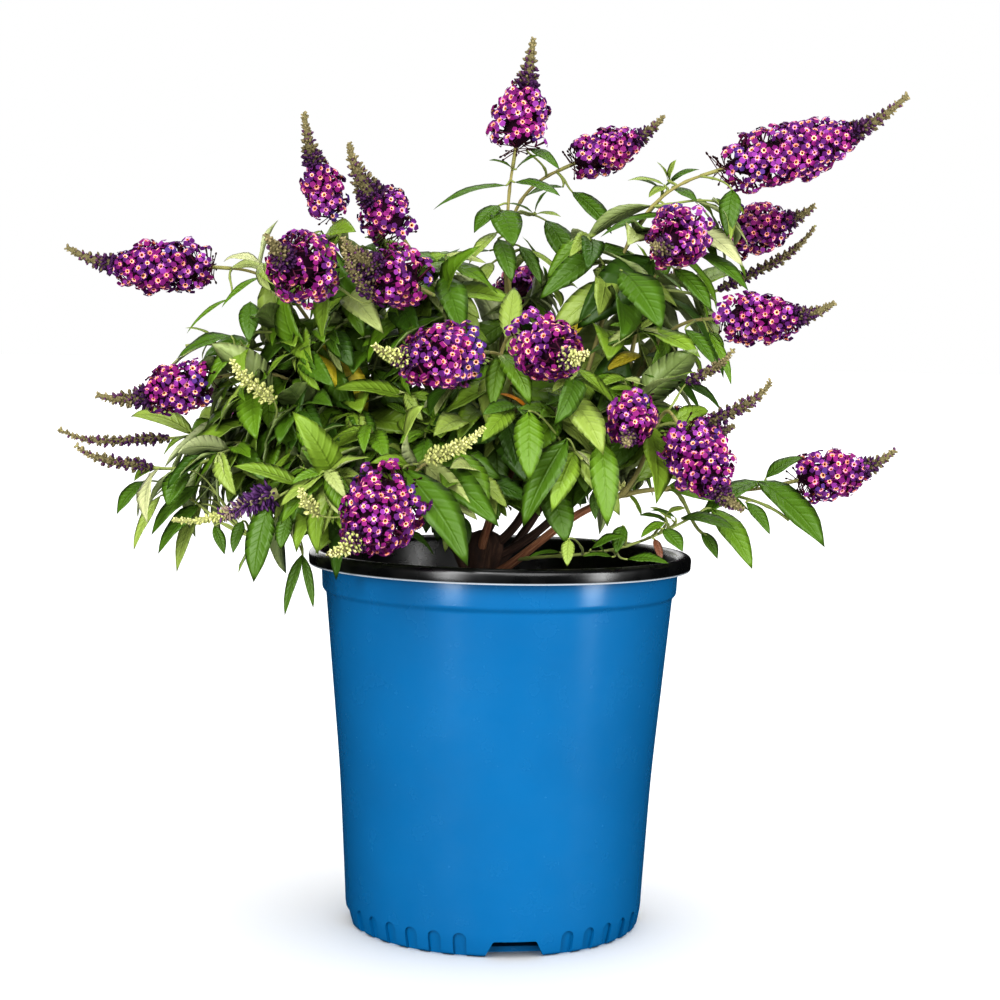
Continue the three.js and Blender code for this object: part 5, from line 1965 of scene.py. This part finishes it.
def add_spents(side_name, curve, s, number):
    """Dark tubes with knobs, left at the foot of the spike where the florets have dropped."""
    for k in range(round(s["long"] * SPENTS_PER_MM)):
        keys = (SPENT_KEYS + number, k)
        place, axis, side, rise = frames_along(curve, [LOOSE_UNTIL * chance(*keys, 1)])[0]
        out = around(side, rise, k * GOLDEN)
        long = pick(SPENT_LONG, *keys, 4) * min(1.0, s["wide"] / FULL_WIDE)
        spents[side_name].append({
            "place": place, "lean": tilted(out, axis, pick(SPENT_FORWARD, *keys, 5), SPENT_TILT, keys),
            "twist": 0.0, "scale": (1, 1, long),
        })


print("bud size:", BUD_SIZE, "floret size:", FLORET_SIZE)

# %% [markdown]
# ### Three kinds of spike
#
# A young spike is all buds. A spike in bud is plump and purple at its foot and still green above.
# An open spike has the full row: bare tubes, florets, purple buds, tail. Each kind has a heart, a
# tube that keeps light from showing through between the florets. The open spike's heart is near
# black, painted shade between its florets; the hearts of the tails are a dull olive or pale green
# like their darker buds.

# %% The kinds of spike
# A heart is (curve, radius at a share of the length, steps, material number).
STALK, TAIL_HEART, PALE_HEART, SHADE_SPIKE_HEART = range(4)
RACHIS = (1.2, 0.6)
HEART_STEPS = 14
YOUNG_LEAST = 1.1
YOUNG_HEART = 0.4
BUDDING_HEART = 0.3
BUDDING_FROM = 0.04
BUDDING_TAPER = (1.0, 0.32)
BUDDING_TAIL = (0.34, 0.12)
PALE_WIDE = 9.5
BUDDING_UNTIL = 0.55
GREEN_FROM = 0.5
BUDDING_PLUMP, PURPLE_PLUMP, GREEN_PLUMP = 2.1, 1.5, 1.1
BUDDING_PITCH = 2.0
# The purple buds lap over the last florets and over the foot of the tail.
PURPLE_BEFORE, PURPLE_BEYOND = 0.05, 0.09
PURPLE_INSET = 0.85
HEART_FROM = 0.04
HEART_BEYOND = 0.05
# The heart starts thin, at this share of its full radius, and is full a fifth of the way up.
SKIN_FROM = 0.06
HEART_START, HEART_GROWTH = 0.2, 4
TAIL_HEART_SHARE = 0.4
TAIL_HEART_LEAST = 0.4
LONG_STEPS, TAIL_STEPS, STALK_STEPS = 16, 20, 4
SLIM_HALF = 16
STALK_RADIUS = 1.15
STALK_INTO = 0.05


def add_rachis(side_name, curve):
    hearts[side_name].append((curve, lambda t: mix(*RACHIS, t), HEART_STEPS, STALK))


def add_young_spike(side_name, s, number):
    curve, half = spike_curve(s), s["wide"] / 2
    kind = PALE if s["wide"] > PALE_WIDE and tuple(s["foot"]) not in OLIVE_YOUNG else OLIVE

    def skin(t):
        return max(YOUNG_FULL * half * outline_at(BUDS, t), YOUNG_LEAST)

    add_buds(side_name, curve, s["long"], skin, 0.0, 1.0, YOUNG_KEYS + number, kind, 1.0)
    add_rachis(side_name, curve)
    hearts[side_name].append((curve, lambda t: YOUNG_HEART * skin(t), HEART_STEPS,
                              PALE_HEART if kind == PALE else TAIL_HEART))


def add_spike_in_bud(side_name, s, number, kind):
    curve, long, half = spike_curve(s), s["long"], s["wide"] / 2

    def plump(t):
        return half * mix(*BUDDING_TAPER, t / BUDDING_UNTIL)

    def tail(t):
        return half * mix(*BUDDING_TAIL, (t - GREEN_FROM) / (1 - GREEN_FROM))

    def heart(t):
        return BUDDING_HEART * plump(min(t, GREEN_FROM))

    add_buds(side_name, curve, long, plump, BUDDING_FROM, BUDDING_UNTIL, BUDDING_KEYS + number,
             BUDDING, BUDDING_PLUMP, BUDDING_PITCH)
    add_buds(side_name, curve, long, tail, GREEN_FROM, 1.0, GREEN_KEYS + number, kind, GREEN_PLUMP)
    add_rachis(side_name, curve)
    hearts[side_name].append((curve, heart, HEART_STEPS, PALE_HEART))


def add_open_spike(side_name, s, number, kind):
    curve, long, half = spike_curve(s), s["long"], s["wide"] / 2
    open_until = LATE_SPIKES.get(s["bloom"], OPEN_UNTIL)
    tail_from = open_until - TAIL_OVERLAP
    tail_foot = TAIL_RADIUS * (1 + 2 * (OPEN_UNTIL - open_until))
    heart_end = open_until + HEART_BEYOND

    def skin(t):
        return half * outline_at(BLOSSOM, t * OPEN_UNTIL / open_until)

    def tail(t):
        return mix(tail_foot, TAIL_TIP, (t - tail_from) / (1 - tail_from)) * min(1, half / SLIM_HALF)

    def purple(t):
        return max(skin(t) * PURPLE_INSET, tail(t))

    def heart(t):
        full = HEART_SHARE * skin(mix(SKIN_FROM, heart_end, t))
        return full * min(1, HEART_START + HEART_GROWTH * t)

    def tail_heart(t):
        return TAIL_HEART_SHARE * tail(max(t, tail_from)) * (t > tail_from) + TAIL_HEART_LEAST

    add_florets(side_name, curve, s, skin, open_until, number)
    add_spents(side_name, curve, s, number)
    add_buds(side_name, curve, long, purple, open_until - PURPLE_BEFORE,
             open_until + PURPLE_BEYOND, PURPLE_KEYS + number, PURPLE, PURPLE_PLUMP)
    add_buds(side_name, curve, long, tail, tail_from, 1.0, GREEN_KEYS + number, kind, GREEN_PLUMP)
    add_rachis(side_name, curve)
    middle = Arc(curve.at(HEART_FROM), curve.axis(HEART_FROM), curve.at(heart_end),
                 curve.axis(heart_end))
    hearts[side_name].append((middle, heart, LONG_STEPS, SHADE_SPIKE_HEART))
    hearts[side_name].append((curve, tail_heart, TAIL_STEPS, TAIL_HEART))
    aim = foot_heading(s)
    stalk = Arc(s["foot"] - aim * STALK_LONG, aim, curve.at(STALK_INTO), curve.axis(STALK_INTO))
    hearts[side_name].append((stalk, lambda t: STALK_RADIUS, STALK_STEPS, STALK))


def add_spike(side_name, s, number):
    kind = PALE if s["bloom"] in PALE_TAILS else OLIVE
    if not s["bloom"]:
        add_young_spike(side_name, s, number)
    elif s["bloom"] in IN_BUD:
        add_spike_in_bud(side_name, s, number, kind)
    else:
        add_open_spike(side_name, s, number, kind)


print("late spikes:", len(LATE_SPIKES), "in bud:", len(IN_BUD))

# %% All the spikes
number = 0
for _, side_name, shoots in MASSES.values():
    for s in shoots:
        number += 1
        if s["long"]:
            add_spike(side_name, s, number)
for mass, foot, aim, long, wide in YOUNG_SPIKES:
    number += 1
    add_spike(MASSES[mass][1], shoot(foot, aim, long, wide), number)
print("florets:", sum(map(len, florets.values())), "buds:", sum(map(len, buds.values())),
      "spent:", sum(map(len, spents.values())))

# %% [markdown]
# ### Petals and buds
#
# A petal is thin and velvety: its cells stand up like tiny cones, so it has no gloss at all. The
# edge of a lobe is a darker tint than its inner half: painted shade where the edge curls down
# into the gaps between florets. Older florets turn from magenta to violet, so each floret picks
# one pair of tints. Buds are felted, purple-black next to the open flowers and olive or pale
# green towards the tip.

# %% Petal and bud materials
def dry_velvet(name, tint, roughness=0.6):
    """A petal's skin, which also suits buds, dry tubes and bark: no gloss and a very fine nap."""
    return felted(name, tint, roughness, 1500.0, 2.0, 0.25, 0.0002, Specular_IOR_Level=0.2)


LOBE_TINTS = ("#98388e", "#a84292", "#843e98", "#b06eb2", "#7e569c")
# The edge tints are darker than the lobes: painted shade where the edges curl down between florets.
EDGE_SHADE_TINTS = ("#68105e", "#781664", "#52165e", "#7e3084", "#4c2a70")
RING_TINTS = ("#e29c86", "#dc98a0", "#eab494")
# The eye's near-black is painted shade: the closed disc stands for the deep opening of the tube.
petal_materials = [dry_velvet("floret eye, painted shade", "#4a0d0a"), dry_velvet("floret throat", "#e07830"),
                   dry_velvet("floret tube", "#4a1030")]
petal_materials += [dry_velvet(f"floret ring {i}", tint) for i, tint in enumerate(RING_TINTS)]
petal_materials += [dry_velvet(f"lobe {i}", tint) for i, tint in enumerate(LOBE_TINTS)]
petal_materials += [dry_velvet(f"shaded lobe edge {i}", tint) for i, tint in enumerate(EDGE_SHADE_TINTS)]
FIRST_RING = 3
FIRST_LOBE = FIRST_RING + len(RING_TINTS)
FIRST_SHADED_EDGE = FIRST_LOBE + len(LOBE_TINTS)

# Three tints for each kind of bud, in the order purple, olive, pale, budding.
BUD_TINTS = ("#32143a", "#43204a", "#5a3656", "#625a40", "#776e50", "#8c8260",
             "#989c5e", "#afb174", "#c8c78e", "#3c1c4c", "#5a3866", "#8e7e70")
bud_materials = [dry_velvet(f"bud {i}", tint, 0.75) for i, tint in enumerate(BUD_TINTS)]
spent_materials = [dry_velvet("spent tube", "#47141c"), dry_velvet("spent knob", "#2c0e18")]


def third(share):
    """Which of three tints a share from 0 to 1 picks."""
    return int(2.99 * share)


def floret_tints(first, second, t):
    """Slots for eye, throat, ring, lobe, edge and tube. Florets low on the spike are bluer."""
    age = min(4, int(3.4 * first + (1.8 if t < LOOSE_UNTIL else 0.6) * second))
    return 0, 1, FIRST_RING + third(second), FIRST_LOBE + age, FIRST_SHADED_EDGE + age, 2


def bud_tint(kind, share, first):
    if kind == OLIVE and first > 0.25 + 0.75 * share:
        kind = PURPLE
    return (3 * kind + third(0.6 * first + 0.4 * share),)


print("petal materials:", len(petal_materials), "bud materials:", len(bud_materials))


# %% Blossom pieces
def copies_of(pattern, rows):
    axes = [facing(row["lean"], row["twist"]) for row in rows]
    x, y, z = (np.array([a[i] for a in axes]) for i in range(3))
    places = np.array([row["place"] for row in rows])
    return rigid_copies(pattern, places, x, y, z, np.array([row["scale"] for row in rows]))


def finish_copies(name, pattern, rows, choices, nodes, materials):
    piece = mesh_from_copies(name, pattern, copies_of(pattern, rows), np.array(choices))
    finish_piece(piece, name, nodes, materials)


# The open spike's near-black heart is painted shade between its florets.
heart_materials = [green_shoot("flower stalk", "#8d8a50", 0.7),
                   dry_velvet("heart of a tail", "#6a6444", 0.8),
                   dry_velvet("heart of a pale tail", "#8f9060", 0.8),
                   dry_velvet("heart of a spike, painted shade", "#2a0420", 0.9)]
HEART_SIDES = 8
for side in SIDES:
    nodes = [f"flower_{s['bloom']}" for _, where, shoots in MASSES.values() if where == side
             for s in shoots if s["bloom"]]
    finish_copies(f"florets_{side}", floret, florets[side],
                  [floret_tints(*row["tints"]) for row in florets[side]], nodes, petal_materials)
    finish_copies(f"buds_{side}", bud, buds[side],
                  [bud_tint(*row["tints"]) for row in buds[side]], nodes, bud_materials)
    finish_copies(f"spent_florets_{side}", spent, spents[side],
                  [(0, 1)] * len(spents[side]), nodes, spent_materials)
    piece = mesh_of_tubes(f"spike_hearts_{side}", hearts[side], HEART_SIDES)
    finish_piece(piece, f"spike_hearts_{side}", nodes, heart_materials)

# %% [markdown]
# ## Potting mix
#
# The mix is bark fines and peat: nearly black where it is damp, with paler splinters on top. The
# surface is a disc with a rough relief, and a few hundred chips lie on it.

# %% Potting mix
MIX_RADIUS = BAND_RADIUS - WALL - 1.5
MIX_CUTS = 12
MIX_RELIEF = 0.9
MIX_SINK = 3.0

start_clean()
bpy.ops.mesh.primitive_circle_add(vertices=64, radius=MIX_RADIUS * MM, fill_type="TRIFAN",
                                  location=(0, 0, SOIL_TOP * MM))
mix_top = bpy.context.object
bpy.ops.object.transform_apply()
edit_all()
bpy.ops.mesh.subdivide(number_cuts=MIX_CUTS)
close_edit()
for v in mix_top.data.vertices:
    x, y = v.co.x / MM, v.co.y / MM
    reach = math.hypot(x, y)
    rough = math.sin(0.21 * x + 1.3 * math.sin(0.13 * y)) + math.sin(0.27 * y + 1.7 * math.sin(0.11 * x))
    v.co.z += (MIX_RELIEF * rough - MIX_SINK * (reach / 100) ** 4) * MM
bpy.ops.object.shade_smooth()


def damp_bark_mix():
    material, tree, shader = new_material("potting mix, damp bark and peat", "#241a13", 0.95)
    place = add_node(tree, "ShaderNodeTexCoord").outputs["Object"]
    crumbs = add_node(tree, "ShaderNodeTexVoronoi", {"Scale": 260.0}, {"Vector": place})
    colour = add_node(tree, "ShaderNodeValToRGB", links={"Fac": crumbs.outputs["Distance"]})
    set_ramp(colour, (0, "#3a2a1e"), (1, "#120c09"))
    bump = add_node(tree, "ShaderNodeBump", {"Strength": 1.0, "Distance": 0.002},
                    {"Height": crumbs.outputs["Distance"]})
    tree.links.new(colour.outputs["Color"], shader.inputs["Base Color"])
    tree.links.new(bump.outputs["Normal"], shader.inputs["Normal"])
    return material


finish_piece(mix_top, "potting_mix_top", ["soil"], [damp_bark_mix()])

# %% Bark chips
CHIPS = 420
CHIP_SEED = 900
# Length, width and thickness.
CHIP_SIZES = ((4, 12), (1.6, 4.5), (0.8, 2.2))
CHIP_LIFT = (-2.4, 1.2)
CHIP_LEAN = (0, 0.5)
CHIP_TINTS = ("#2b1d14", "#3f2c1f", "#5d4431", "#7f6046")


def chip_pattern():
    """A splinter one millimetre long: a block with one end narrower and one corner torn."""
    start_clean()
    bpy.ops.mesh.primitive_cube_add(size=MM, location=(0, 0, 0))
    chip = bpy.context.object
    select_vertices(chip, lambda place: place.x > 0)
    bpy.ops.transform.resize(value=(1, 0.5, 0.6), center_override=(0, 0, 0))
    select_vertices(chip, lambda place: place.x < 0 and place.y > 0)
    bpy.ops.transform.translate(value=(-0.3 * MM, 0, 0.15 * MM))
    close_edit()
    mark_parts(chip, lambda middle: 0)
    return Pattern(chip)


def chip_rows():
    for k in range(CHIPS):
        seed = (CHIP_SEED, k)
        reach = mix(FLARE_RADIUS + 2, BAND_RADIUS - 8, chance(*seed, 1) ** 0.6)
        place = heading(360 * chance(*seed, 2), 0) * reach
        tip = heading(360 * chance(*seed, 7), 0) * pick(CHIP_LEAN, *seed, 8)
        yield {"place": place + UP * (SOIL_TOP + pick(CHIP_LIFT, *seed, 6)), "lean": unit(UP + tip),
               "twist": 6 * chance(*seed, 9),
               "scale": [pick(limits, *seed, 3 + i) for i, limits in enumerate(CHIP_SIZES)]}


chip = chip_pattern()
chip_choices = np.array([(k % len(CHIP_TINTS),) for k in range(CHIPS)])
chips = mesh_from_copies("bark_chips", chip, copies_of(chip, list(chip_rows())), chip_choices,
                         smooth=False)
finish_piece(chips, "bark_chips", ["soil"],
             [dry_velvet(f"bark chip {i}", tint, 0.9) for i, tint in enumerate(CHIP_TINTS)])

# %% [markdown]
# ## Count the pieces

# %% Finish
print("pieces:", len(pieces))
